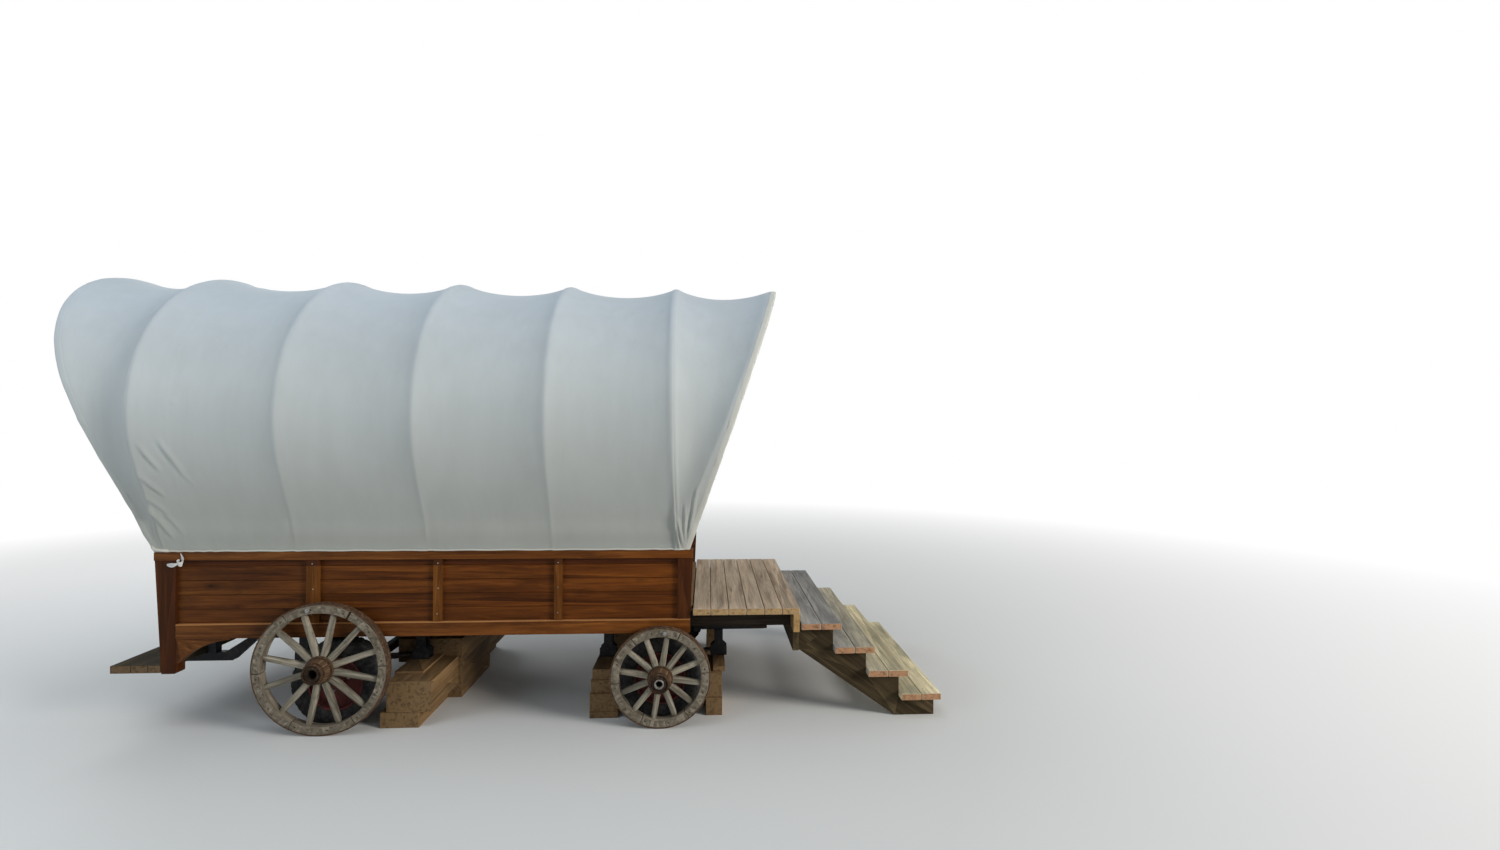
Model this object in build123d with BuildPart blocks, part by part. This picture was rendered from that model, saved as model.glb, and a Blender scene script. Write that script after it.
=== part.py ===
from build123d import *
import math
import os

# Covered wagon: a boarded timber body with a canvas cover on bent hoops, carried by a steel trailer chassis on
# rubber wheels, with cart wheels bolted beside it, a deck and stairs at the front and a platform at the rear.
# Sizes are in millimetres. +X points to the front, +Y to the left side and +Z up. The origin is on the ground,
# in the middle of the wagon's length and width.

# Driving dimensions
BODY_LENGTH = 3659
BODY_WIDTH = 1702
BODY_BOTTOM = 645
SIDE_HEIGHT = 594
HOOP_RISE = 2015
HOOP_HALF_WIDTH = 1100
REAR_OVERHANG = 815
FRONT_OVERHANG = 649
DECK_LENGTH = 773
DECK_OVERHANG = 22
FLOOR_HEIGHT = 819
TYRE_RADIUS = 305
TYRE_INSET = 24
REAR_AXLE_STATION = 1177
FRONT_AXLE_SETBACK = 229
RAIL_SPACING = 840
TREAD_COUNT = 4
FIRST_DROP = 114
STEP_RISE = 174
STEP_RUN = 247

# Clearances
SEAT_GAP = 0.3
BOARD_GAP = 2.5

# Timber sections
PLANK_THICKNESS = 45
CAP_HEIGHT = 58
CAP_WIDTH = 95
CAP_PROUD = 5
LOWER_RAIL_HEIGHT = 100
LOWER_RAIL_THICKNESS = 70
SIDE_BOARD_COUNT = 4
SIDE_BOARD_THICKNESS = 25
FRIEZE_HEIGHT = 44
FRIEZE_INSET = 8
BATTEN_THICKNESS = 22
POST_THICKNESS = 90
REAR_POST_WIDTH = 140
REAR_POST_FOOT = 407
FRONT_POST_WIDTH = 108
REAR_RAKE = 37
FRONT_RAKE = 17
END_BOARD_COUNT = 5
END_BOARD_THICKNESS = 28
END_BOARD_RISE = 55
JOIST_THICKNESS = 45
INNER_JOIST_OFFSET = 262
OUTER_JOIST_INSET = 174
FLOOR_BOARD_COUNT = 28
DECK_PLANK_COUNT = 6
DECK_PLANK_GAP = 4
LEDGER_HEIGHT = 145
TREAD_PLANK_WIDTH = 145
TREAD_GAP = 13
STRINGER_INSET = 100
STRINGER_TOE = 30
BOLSTER_COUNT = 6
BOLSTER_HEIGHT = 22
BOLSTER_WIDTH = 120

# Steel sections
RAIL_HEIGHT = 80
RAIL_WIDTH = 60
RAIL_WALL = 7
RAIL_REAR_REACH = 60
RAIL_FRONT_SETBACK = 222
CROSS_WIDTH = 60
AXLE_SIZE = 60
STUB_RADIUS = 20
STUB_CLEARANCE = 0.05
LEAF_COUNT = 4
LEAF_THICKNESS = 9
LEAF_WIDTH = 60
LEAF_STEP = 85
SPRING_HALF_SPAN = 425
SPRING_SAG = 20
EYE_RADIUS = 17
HANGER_FOOT = 345

# Cover
CANVAS_THICKNESS = 5
BOW_WIDTH = 32
BOW_THICKNESS = 20
BOW_FLAT = 20
BOW_GAP = 6
RIM_BOW_STATION = 8
RIM_MARGIN = 36
RIM_NARROWING = 115
SAG_TOP = 75
SAG_SIDE = 30
CANVAS_FOOT_INSET = 5
LEG_STEPS = 4
LEG_BULGE = 1.5
CROWN_STEPS = 18

# Rubber wheels
TYRE_WIDTH = 165
RIM_RADIUS = 185
RIM_WIDTH = 144
HUB_RADIUS = 48

# Derived places
TREAD_WIDTH = 2 * TREAD_PLANK_WIDTH + 4
STAIR_REACH = TREAD_GAP + (TREAD_COUNT - 1) * STEP_RUN + TREAD_WIDTH
TOTAL_LENGTH = REAR_OVERHANG + BODY_LENGTH + DECK_LENGTH + STAIR_REACH
REAR_X = REAR_OVERHANG - TOTAL_LENGTH / 2
FRONT_X = REAR_X + BODY_LENGTH
DECK_END_X = FRONT_X + DECK_LENGTH
HALF_WIDTH = BODY_WIDTH / 2
SIDE_TOP = BODY_BOTTOM + SIDE_HEIGHT
CAP_BOTTOM = SIDE_TOP - CAP_HEIGHT
LOWER_RAIL_TOP = BODY_BOTTOM + LOWER_RAIL_HEIGHT
FRIEZE_BOTTOM = CAP_BOTTOM - FRIEZE_HEIGHT
BOARD_FACE = HALF_WIDTH - BATTEN_THICKNESS
POST_INNER = HALF_WIDTH - POST_THICKNESS
CAP_INNER = HALF_WIDTH + CAP_PROUD - CAP_WIDTH
FLOOR_UNDERSIDE = FLOOR_HEIGHT - PLANK_THICKNESS
RAIL_TOP = BODY_BOTTOM - BOLSTER_HEIGHT
RAIL_BOTTOM = RAIL_TOP - RAIL_HEIGHT
RAIL_OFFSET = RAIL_SPACING / 2
SIDES = (-1, 1)
AXLE_XS = {"rear": REAR_X + REAR_AXLE_STATION, "front": FRONT_X - FRONT_AXLE_SETBACK}
RAIL_REAR_X = REAR_X - RAIL_REAR_REACH
RAIL_FRONT_X = DECK_END_X - RAIL_FRONT_SETBACK
DECK_HALF = HALF_WIDTH + DECK_OVERHANG
JOIST_OFFSETS = (INNER_JOIST_OFFSET, HALF_WIDTH - OUTER_JOIST_INSET)

pieces = {}


def span(side, inner, outer):
    """The span from inner to outer on one side of the centreline, low end first."""
    return tuple(sorted((side * inner, side * outer)))


def block(x_span, y_span, z_span):
    """Adds a straight bar that fills three spans to the piece being built."""
    middles = tuple((low + high) / 2 for low, high in (x_span, y_span, z_span))
    with Locations(middles):
        Box(x_span[1] - x_span[0], y_span[1] - y_span[0], z_span[1] - z_span[0])


def rake(height):
    """How far the raked rear end stands in from its top at a height."""
    return REAR_RAKE * (SIDE_TOP - height) / SIDE_HEIGHT


# Chassis rails, channels that open inwards
with BuildPart() as chassis_rails:
    for side in SIDES:
        with BuildSketch(Plane.YZ.offset(RAIL_REAR_X)):
            with Locations((side * RAIL_OFFSET, (RAIL_TOP + RAIL_BOTTOM) / 2)):
                Rectangle(RAIL_WIDTH, RAIL_HEIGHT)
            with Locations((side * (RAIL_OFFSET - RAIL_WALL), (RAIL_TOP + RAIL_BOTTOM) / 2)):
                Rectangle(RAIL_WIDTH, RAIL_HEIGHT - 2 * RAIL_WALL, mode=Mode.SUBTRACT)
        extrude(amount=RAIL_FRONT_X - RAIL_REAR_X)
pieces["chassis_rails"] = chassis_rails

# Cross members between the webs of the rails, and an end plate outside each rail at the front of the body
END_PLATE_LENGTH = 55
END_PLATE_WIDTH = 50
END_PLATE_RISE = 30
WEB_FACE = RAIL_OFFSET + RAIL_WIDTH / 2 - RAIL_WALL - SEAT_GAP
RAIL_FACE = RAIL_OFFSET + RAIL_WIDTH / 2 + SEAT_GAP
CROSS_Z = (RAIL_BOTTOM + RAIL_WALL + SEAT_GAP, RAIL_TOP - RAIL_WALL - SEAT_GAP)
CROSS_XS = (
    REAR_X + CROSS_WIDTH,
    AXLE_XS["rear"],
    (AXLE_XS["rear"] + AXLE_XS["front"]) / 2,
    AXLE_XS["front"],
    RAIL_FRONT_X - CROSS_WIDTH / 2,
)
with BuildPart() as chassis_cross_members:
    for middle in CROSS_XS:
        block((middle - CROSS_WIDTH / 2, middle + CROSS_WIDTH / 2), (-WEB_FACE, WEB_FACE), CROSS_Z)
    for side in SIDES:
        y_span = span(side, RAIL_FACE, RAIL_FACE + END_PLATE_WIDTH)
        block((FRONT_X, FRONT_X + END_PLATE_LENGTH), y_span, (RAIL_BOTTOM, RAIL_TOP + END_PLATE_RISE))
pieces["chassis_cross_members"] = chassis_cross_members

# Tow plate with its pin hole, in front of the front cross member
TOW_PLATE_LENGTH = 140
TOW_PLATE_WIDTH = 120
TOW_PLATE_THICKNESS = 20
TOW_PIN_RADIUS = 13
TOW_PLATE_Z = (RAIL_TOP + RAIL_BOTTOM) / 2
with BuildPart() as tow_plate:
    with BuildSketch(Plane.XY.offset(TOW_PLATE_Z - TOW_PLATE_THICKNESS / 2)):
        nose_x = RAIL_FRONT_X + TOW_PLATE_LENGTH - TOW_PLATE_WIDTH / 2
        with Locations(((RAIL_FRONT_X + SEAT_GAP + nose_x) / 2, 0)):
            Rectangle(nose_x - RAIL_FRONT_X - SEAT_GAP, TOW_PLATE_WIDTH)
        with Locations((nose_x, 0)):
            Circle(TOW_PLATE_WIDTH / 2)
            Circle(TOW_PIN_RADIUS, mode=Mode.SUBTRACT)
    extrude(amount=TOW_PLATE_THICKNESS)
pieces["tow_plate"] = tow_plate

# Bolsters on the rails, under the joists, evenly spaced up to the front end of the rails
FIRST_BOLSTER_STATION = 300
BOLSTER_REACH = JOIST_OFFSETS[-1] + JOIST_THICKNESS / 2
FIRST_BOLSTER_X = REAR_X + FIRST_BOLSTER_STATION
BOLSTER_PITCH = (RAIL_FRONT_X - BOLSTER_WIDTH / 2 - FIRST_BOLSTER_X) / (BOLSTER_COUNT - 1)
with BuildPart() as bolsters:
    for number in range(BOLSTER_COUNT):
        middle = FIRST_BOLSTER_X + number * BOLSTER_PITCH
        x_span = (middle - BOLSTER_WIDTH / 2, middle + BOLSTER_WIDTH / 2)
        block(x_span, (-BOLSTER_REACH, BOLSTER_REACH), (RAIL_TOP + SEAT_GAP, BODY_BOTTOM))
pieces["bolsters"] = bolsters

# Axles: a square beam with a round stub at each end for the hub
STUB_INSET = 55
TYRE_FACE = HALF_WIDTH - TYRE_INSET
BEAM_END = TYRE_FACE - TYRE_WIDTH
STUB_END = TYRE_FACE - STUB_INSET
for name, axle_x in AXLE_XS.items():
    with BuildPart() as axle:
        half = AXLE_SIZE / 2
        block((axle_x - half, axle_x + half), (-BEAM_END, BEAM_END), (TYRE_RADIUS - half, TYRE_RADIUS + half))
        with Locations(Location((axle_x, 0, TYRE_RADIUS), (90, 0, 0))):
            Cylinder(STUB_RADIUS, 2 * STUB_END)
    pieces[f"{name}_axle"] = axle

# Leaf springs on the axles, under the rails: the main leaf is on top and has an eye at each end
SPRING_RADIUS = (SPRING_HALF_SPAN**2 + SPRING_SAG**2) / (2 * SPRING_SAG)
PACK_BOTTOM = TYRE_RADIUS + AXLE_SIZE / 2
SPRING_CENTRE = PACK_BOTTOM + SEAT_GAP + SPRING_RADIUS + LEAF_COUNT * LEAF_THICKNESS
EYE_HEIGHT = SPRING_CENTRE - SPRING_RADIUS + SPRING_SAG
with BuildPart() as leaf_springs:
    for axle_x in AXLE_XS.values():
        for side in SIDES:
            with BuildSketch(Plane.XZ.offset(-side * RAIL_OFFSET)):
                for leaf in range(LEAF_COUNT):
                    inner_radius = SPRING_RADIUS + leaf * LEAF_THICKNESS
                    half_angle = math.degrees((SPRING_HALF_SPAN - leaf * LEAF_STEP) / SPRING_RADIUS)
                    with BuildLine():
                        middle = (axle_x, SPRING_CENTRE)
                        upper = CenterArc(middle, inner_radius, 270 - half_angle, 2 * half_angle)
                        lower = CenterArc(middle, inner_radius + LEAF_THICKNESS, 270 - half_angle, 2 * half_angle)
                        Line(upper @ 0, lower @ 0)
                        Line(upper @ 1, lower @ 1)
                    make_face()
                with Locations(*[(axle_x + way * SPRING_HALF_SPAN, EYE_HEIGHT) for way in SIDES]):
                    RegularPolygon(EYE_RADIUS, 8)
            extrude(amount=LEAF_WIDTH / 2, both=True)
pieces["leaf_springs"] = leaf_springs

# Spring hangers: two cheeks each that hold the spring's eye, narrow at the rail and wide at the foot
CHEEK_THICKNESS = 10
CHEEK_FACE = LEAF_WIDTH / 2 + SEAT_GAP
HANGER_NECK = 66
HANGER_FOOT_WIDTH = 128
HANGER_SHOULDER = 440
HANGER_SLOPE = 30
HANGER_PAD = 10
with BuildPart() as spring_hangers:
    for axle_x in AXLE_XS.values():
        for way in SIDES:
            for side in SIDES:
                hanger_x = axle_x + way * SPRING_HALF_SPAN
                hanger_y = side * RAIL_OFFSET
                for cheek in SIDES:
                    with BuildSketch(Plane.XZ.offset(-hanger_y - cheek * (CHEEK_FACE + CHEEK_THICKNESS / 2))):
                        with BuildLine():
                            Polyline(
                                (hanger_x - HANGER_NECK / 2, RAIL_BOTTOM - SEAT_GAP),
                                (hanger_x - HANGER_NECK / 2, HANGER_SHOULDER),
                                (hanger_x - HANGER_FOOT_WIDTH / 2, HANGER_SHOULDER - HANGER_SLOPE),
                                (hanger_x - HANGER_FOOT_WIDTH / 2, HANGER_FOOT),
                                (hanger_x + HANGER_FOOT_WIDTH / 2, HANGER_FOOT),
                                (hanger_x + HANGER_FOOT_WIDTH / 2, HANGER_SHOULDER - HANGER_SLOPE),
                                (hanger_x + HANGER_NECK / 2, HANGER_SHOULDER),
                                (hanger_x + HANGER_NECK / 2, RAIL_BOTTOM - SEAT_GAP),
                                close=True,
                            )
                        make_face()
                    extrude(amount=CHEEK_THICKNESS / 2, both=True)
                pad_y = (hanger_y - CHEEK_FACE - CHEEK_THICKNESS, hanger_y + CHEEK_FACE + CHEEK_THICKNESS)
                neck_x = (hanger_x - HANGER_NECK / 2, hanger_x + HANGER_NECK / 2)
                foot_x = (hanger_x - HANGER_FOOT_WIDTH / 2, hanger_x + HANGER_FOOT_WIDTH / 2)
                block(neck_x, pad_y, (RAIL_BOTTOM - SEAT_GAP - HANGER_PAD, RAIL_BOTTOM - SEAT_GAP))
                block(foot_x, pad_y, (HANGER_FOOT, HANGER_FOOT + HANGER_PAD))
pieces["spring_hangers"] = spring_hangers

# Rubber wheels: a tyre and a dished steel rim with its hub, on each end of each axle
TYRE_MIDDLE = TYRE_FACE - TYRE_WIDTH / 2
SHOULDER = (12, 16)
DISC_THICKNESS = 8
DISC_FACE = 20
BARREL_WALL = 12
HUB_CLEARANCE = 6
HUB_INNER = TYRE_MIDDLE - BEAM_END - HUB_CLEARANCE
HUB_OUTER = 52
HUB_BORE_END = STUB_END - TYRE_MIDDLE + HUB_CLEARANCE
for name, axle_x in AXLE_XS.items():
    for side, side_name in zip(SIDES, ("right", "left")):
        across = Plane(origin=(axle_x, side * TYRE_MIDDLE, TYRE_RADIUS), x_dir=(0, side, 0), z_dir=(side, 0, 0))
        spin = Axis((axle_x, side * TYRE_MIDDLE, TYRE_RADIUS), (0, 1, 0))
        with BuildPart() as tyre:
            with BuildSketch(across):
                with BuildLine():
                    Polyline(
                        (-TYRE_WIDTH / 2, RIM_RADIUS + SEAT_GAP),
                        (-TYRE_WIDTH / 2, TYRE_RADIUS - SHOULDER[1]),
                        (SHOULDER[0] - TYRE_WIDTH / 2, TYRE_RADIUS),
                        (TYRE_WIDTH / 2 - SHOULDER[0], TYRE_RADIUS),
                        (TYRE_WIDTH / 2, TYRE_RADIUS - SHOULDER[1]),
                        (TYRE_WIDTH / 2, RIM_RADIUS + SEAT_GAP),
                        close=True,
                    )
                make_face()
            revolve(axis=spin)
        pieces[f"{name}_{side_name}_tyre"] = tyre
        with BuildPart() as rim:
            with BuildSketch(across):
                barrel_bore = RIM_RADIUS - BARREL_WALL
                with BuildLine():
                    Polyline(
                        (-RIM_WIDTH / 2, RIM_RADIUS),
                        (-RIM_WIDTH / 2, barrel_bore),
                        (DISC_FACE - DISC_THICKNESS, barrel_bore),
                        (DISC_FACE - DISC_THICKNESS, HUB_RADIUS),
                        (-HUB_INNER, HUB_RADIUS),
                        (-HUB_INNER, STUB_RADIUS + STUB_CLEARANCE),
                        (HUB_BORE_END, STUB_RADIUS + STUB_CLEARANCE),
                        (HUB_BORE_END, 0),
                        (HUB_OUTER, 0),
                        (HUB_OUTER, HUB_RADIUS),
                        (DISC_FACE, HUB_RADIUS),
                        (DISC_FACE, barrel_bore),
                        (RIM_WIDTH / 2, barrel_bore),
                        (RIM_WIDTH / 2, RIM_RADIUS),
                        close=True,
                    )
                make_face()
            revolve(axis=spin)
        pieces[f"{name}_{side_name}_rim"] = rim

# Floor joists along the wagon, from the rear end to the deck's fascia
JOIST_START = REAR_X + rake(BODY_BOTTOM) + END_BOARD_THICKNESS + SEAT_GAP
FASCIA_X = DECK_END_X - JOIST_THICKNESS
with BuildPart() as floor_joists:
    for offset_y in JOIST_OFFSETS:
        for side in SIDES:
            y_span = span(side, offset_y - JOIST_THICKNESS / 2, offset_y + JOIST_THICKNESS / 2)
            block((JOIST_START, FASCIA_X - SEAT_GAP), y_span, (BODY_BOTTOM + SEAT_GAP, FLOOR_UNDERSIDE))
pieces["floor_joists"] = floor_joists

# Floor boards across the joists, shorter between the corner posts
FLOOR_START = REAR_X + rake(FLOOR_UNDERSIDE) + END_BOARD_THICKNESS + BOARD_GAP
FLOOR_PITCH = (FRONT_X - FLOOR_START) / FLOOR_BOARD_COUNT
with BuildPart() as floor_boards:
    for number in range(FLOOR_BOARD_COUNT):
        low_x = FLOOR_START + number * FLOOR_PITCH
        high_x = low_x + FLOOR_PITCH - BOARD_GAP
        by_post = low_x < REAR_X + REAR_POST_WIDTH + BOARD_GAP or high_x > FRONT_X - FRONT_POST_WIDTH - BOARD_GAP
        reach = POST_INNER - SEAT_GAP if by_post else BOARD_FACE - SIDE_BOARD_THICKNESS - SEAT_GAP
        block((low_x, high_x), (-reach, reach), (FLOOR_UNDERSIDE + SEAT_GAP, FLOOR_HEIGHT))
pieces["floor_boards"] = floor_boards

# Corner posts: the rear ones are raked at the back and run down past the body to carry the knees, and the front
# ones stand on the lower rails
with BuildPart() as corner_posts:
    for side in SIDES:
        with BuildSketch(Plane.XZ.offset(-side * (HALF_WIDTH - POST_THICKNESS / 2))):
            with BuildLine():
                Polyline(
                    (REAR_X + rake(CAP_BOTTOM), CAP_BOTTOM - SEAT_GAP),
                    (REAR_X + rake(REAR_POST_FOOT), REAR_POST_FOOT),
                    (REAR_X + REAR_POST_WIDTH, REAR_POST_FOOT),
                    (REAR_X + REAR_POST_WIDTH, CAP_BOTTOM - SEAT_GAP),
                    close=True,
                )
            make_face()
            with BuildLine():
                Polyline(
                    (FRONT_X - FRONT_POST_WIDTH, CAP_BOTTOM - SEAT_GAP),
                    (FRONT_X - FRONT_POST_WIDTH, LOWER_RAIL_TOP + SEAT_GAP),
                    (FRONT_X - FRONT_RAKE, LOWER_RAIL_TOP + SEAT_GAP),
                    (FRONT_X, CAP_BOTTOM - SEAT_GAP),
                    close=True,
                )
            make_face()
        extrude(amount=POST_THICKNESS / 2, both=True)
pieces["corner_posts"] = corner_posts

# Long rails and boards of the sides, between the posts
SIDE_X = (REAR_X + REAR_POST_WIDTH + SEAT_GAP, FRONT_X - FRONT_POST_WIDTH - SEAT_GAP)
LOWER_RAIL_X = (SIDE_X[0], FRONT_X - FRONT_RAKE)
with BuildPart() as lower_rails:
    for side in SIDES:
        y_span = span(side, HALF_WIDTH - LOWER_RAIL_THICKNESS, HALF_WIDTH)
        block(LOWER_RAIL_X, y_span, (BODY_BOTTOM, LOWER_RAIL_TOP))
pieces["lower_rails"] = lower_rails

BOARD_PITCH = (FRIEZE_BOTTOM - LOWER_RAIL_TOP) / SIDE_BOARD_COUNT
for side, side_name in zip(SIDES, ("right", "left")):
    with BuildPart() as side_boards:
        for number in range(SIDE_BOARD_COUNT):
            low_z = LOWER_RAIL_TOP + number * BOARD_PITCH + SEAT_GAP
            y_span = span(side, BOARD_FACE - SIDE_BOARD_THICKNESS, BOARD_FACE)
            block(SIDE_X, y_span, (low_z, low_z + BOARD_PITCH - BOARD_GAP))
    pieces[f"{side_name}_side_boards"] = side_boards

with BuildPart() as frieze_rails:
    for side in SIDES:
        y_span = span(side, BOARD_FACE - SIDE_BOARD_THICKNESS, BOARD_FACE - FRIEZE_INSET)
        block(SIDE_X, y_span, (FRIEZE_BOTTOM, CAP_BOTTOM - SEAT_GAP))
pieces["frieze_rails"] = frieze_rails

with BuildPart() as cap_rails:
    for side in SIDES:
        y_span = span(side, HALF_WIDTH + CAP_PROUD - CAP_WIDTH, HALF_WIDTH + CAP_PROUD)
        block((REAR_X, FRONT_X), y_span, (CAP_BOTTOM, SIDE_TOP))
pieces["cap_rails"] = cap_rails

# Battens on the side boards: columns are the station of the middle and the width
BATTENS = ((1038, 86), (1879, 60), (2710, 57))
with BuildPart() as side_battens:
    for station, width in BATTENS:
        for side in SIDES:
            x_span = (REAR_X + station - width / 2, REAR_X + station + width / 2)
            block(x_span, span(side, BOARD_FACE, HALF_WIDTH), (LOWER_RAIL_TOP + SEAT_GAP, CAP_BOTTOM - SEAT_GAP))
pieces["side_battens"] = side_battens

# Knee brackets: a hollow curve from the foot of the rear post to the lower rail
KNEE_THICKNESS = 45
KNEE_DROP = 168
KNEE_REACH = 350
KNEE_TIP = 12
KNEE_TOE = 17
KNEE_TIP_SLOPE = 0.06
with BuildPart() as knee_brackets:
    for side in SIDES:
        with BuildSketch(Plane.XZ.offset(-side * (HALF_WIDTH - KNEE_THICKNESS / 2 - CAP_PROUD))):
            corner_x = REAR_X + REAR_POST_WIDTH + SEAT_GAP
            corner_z = BODY_BOTTOM - SEAT_GAP
            with BuildLine():
                Line((corner_x, corner_z), (corner_x, corner_z - KNEE_DROP))
                Line((corner_x, corner_z - KNEE_DROP), (corner_x + KNEE_TOE, corner_z - KNEE_DROP))
                TangentArc(
                    (corner_x + KNEE_REACH, corner_z - KNEE_TIP),
                    (corner_x + KNEE_TOE, corner_z - KNEE_DROP),
                    tangent=(-1, -KNEE_TIP_SLOPE),
                )
                Line((corner_x + KNEE_REACH, corner_z - KNEE_TIP), (corner_x + KNEE_REACH, corner_z))
                Line((corner_x + KNEE_REACH, corner_z), (corner_x, corner_z))
            make_face()
        extrude(amount=KNEE_THICKNESS / 2, both=True)
pieces["knee_brackets"] = knee_brackets

# Rear end boards, raked, between the posts
END_BOARD_PITCH = (SIDE_HEIGHT + END_BOARD_RISE) / END_BOARD_COUNT
with BuildPart() as rear_end_boards:
    with BuildSketch(Plane.XZ):
        for number in range(END_BOARD_COUNT):
            low_z = BODY_BOTTOM + number * END_BOARD_PITCH
            high_z = low_z + END_BOARD_PITCH - BOARD_GAP
            with BuildLine():
                Polyline(
                    (REAR_X + rake(low_z), low_z),
                    (REAR_X + rake(high_z), high_z),
                    (REAR_X + rake(high_z) + END_BOARD_THICKNESS, high_z),
                    (REAR_X + rake(low_z) + END_BOARD_THICKNESS, low_z),
                    close=True,
                )
            make_face()
    extrude(amount=min(POST_INNER, CAP_INNER) - SEAT_GAP, both=True)
pieces["rear_end_boards"] = rear_end_boards

FOOT_HALF = HALF_WIDTH - CANVAS_FOOT_INSET

# Hoops: columns are the place of the foot and of the top, in front of the body's rear end, and the half width
HOOPS = (
    (RIM_BOW_STATION, RIM_MARGIN - REAR_OVERHANG, HOOP_HALF_WIDTH - RIM_NARROWING),
    (RIM_BOW_STATION + 2 * BOW_FLAT + BOW_GAP, -12, HOOP_HALF_WIDTH),
    (933, 929, HOOP_HALF_WIDTH),
    (1812, 1789, HOOP_HALF_WIDTH),
    (BODY_LENGTH - 991, BODY_LENGTH - 1005, HOOP_HALF_WIDTH),
    (BODY_LENGTH - 125, BODY_LENGTH - 165, HOOP_HALF_WIDTH),
    (BODY_LENGTH - 62, BODY_LENGTH + FRONT_OVERHANG - RIM_MARGIN, HOOP_HALF_WIDTH),
)


def arch_plane(foot, top, base):
    """The leaning plane of a hoop: local x runs across the wagon and local y up the hoop."""
    lean = math.atan2(top - foot, HOOP_RISE)
    return Plane(origin=(REAR_X + foot, 0, base), x_dir=(0, 1, 0), z_dir=(math.cos(lean), 0, -math.sin(lean)))


def arch_height(foot, top):
    """The height of a hoop along its own leaning plane."""
    return math.hypot(HOOP_RISE, top - foot)


def arch_points(half_width, height, foot_half):
    """Points of an arch from its right foot over the top: a half circle on two legs that draw in to the feet."""
    spring = height - half_width
    points = []
    for step in range(LEG_STEPS):
        share = step / LEG_STEPS
        bulge = math.sin(math.pi / 2 * share) ** LEG_BULGE
        points.append((foot_half + (half_width - foot_half) * bulge, spring * share))
    for step in range(CROWN_STEPS // 2):
        angle = math.pi * step / CROWN_STEPS
        points.append((half_width * math.cos(angle), spring + half_width * math.sin(angle)))
    return points + [(0, height)] + [(-x, y) for x, y in reversed(points)]


def arch_pair(half_width, height, inset, thickness):
    """The points of an arch at an inset from the canvas line, and of the same arch a thickness further in."""
    return [
        arch_points(half_width - offset, height - offset, FOOT_HALF - offset) for offset in (inset, inset + thickness)
    ]


BOW_INSET = CANVAS_THICKNESS + SEAT_GAP
with BuildPart() as hoops:
    for foot, top, half_width in HOOPS:
        outer, inner = arch_pair(half_width, arch_height(foot, top), BOW_INSET, BOW_THICKNESS)
        with BuildSketch(arch_plane(foot, top, SIDE_TOP)):
            with BuildLine():
                Polyline(*outer, *reversed(inner), close=True)
            make_face()
        extrude(amount=BOW_WIDTH / 2, dir=(1, 0, 0), both=True)
pieces["hoops"] = hoops


def section(foot, top, half_width, sag_side=0, sag_top=0):
    """The ring of points round the canvas in the plane of a foot and a top, with its sag at the sides and the top."""
    base = arch_plane(foot, top, SIDE_TOP + SEAT_GAP)
    outer, inner = arch_pair(half_width - sag_side, arch_height(foot, top) - sag_top, 0, CANVAS_THICKNESS)
    return [base.from_local_coords(Vector(*point)) for point in (*outer, *reversed(inner))]


# Canvas cover: a section at both edges of each hoop and one between hoops, where the canvas sags
sections = []
for number, (foot, top, half_width) in enumerate(HOOPS):
    before = RIM_MARGIN if number == 0 else BOW_FLAT
    after = RIM_MARGIN if number == len(HOOPS) - 1 else BOW_FLAT
    sections += [section(foot + shift, top + shift, half_width) for shift in (-before, after)]
    if number < len(HOOPS) - 1:
        middle = [(here + there) / 2 for here, there in zip(HOOPS[number], HOOPS[number + 1])]
        sections.append(section(*middle, SAG_SIDE, SAG_TOP))


def panel(*corners):
    """A flat face on three or four corners."""
    return Face(Wire.make_polygon(corners, close=True))


# Each strip between two sections is folded along one diagonal of every panel, so that all its faces are flat
half = len(sections[0]) // 2
faces = []
for here, there in zip(sections, sections[1:]):
    for number in range(2 * half):
        after = (number + 1) % (2 * half)
        faces.append(panel(here[number], here[after], there[after]))
        faces.append(panel(here[number], there[after], there[number]))
for ring in (sections[0], sections[-1]):
    faces += [panel(ring[number], ring[number + 1], ring[-number - 2], ring[-number - 1]) for number in range(half - 1)]
with BuildPart() as canvas_cover:
    add(Solid(Shell(faces)))
pieces["canvas_cover"] = canvas_cover

# Gathered canvas at the rear end, inside the first hoop, with its oval opening
REAR_OPENING = (240, 340)
REAR_OPENING_HEIGHT = 1240
REAR_PANEL_GAP = 5
REAR_PANEL_FOOT = (END_BOARD_RISE + REAR_PANEL_GAP) / math.cos(math.atan2(HOOPS[0][0] - HOOPS[0][1], HOOP_RISE))
with BuildPart() as canvas_rear_end:
    foot, top, half_width = HOOPS[0]
    inset = BOW_INSET + BOW_THICKNESS + SEAT_GAP
    with BuildSketch(arch_plane(foot, top, SIDE_TOP)):
        with BuildLine():
            Polyline(*arch_points(half_width - inset, arch_height(foot, top) - inset, FOOT_HALF - inset), close=True)
        make_face()
        with Locations((0, 0)):
            Rectangle(BODY_WIDTH, 2 * REAR_PANEL_FOOT, mode=Mode.SUBTRACT)
        with Locations((0, REAR_OPENING_HEIGHT)):
            Ellipse(*REAR_OPENING, mode=Mode.SUBTRACT)
    extrude(amount=CANVAS_THICKNESS / 2, dir=(1, 0, 0), both=True)
pieces["canvas_rear_end"] = canvas_rear_end

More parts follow.
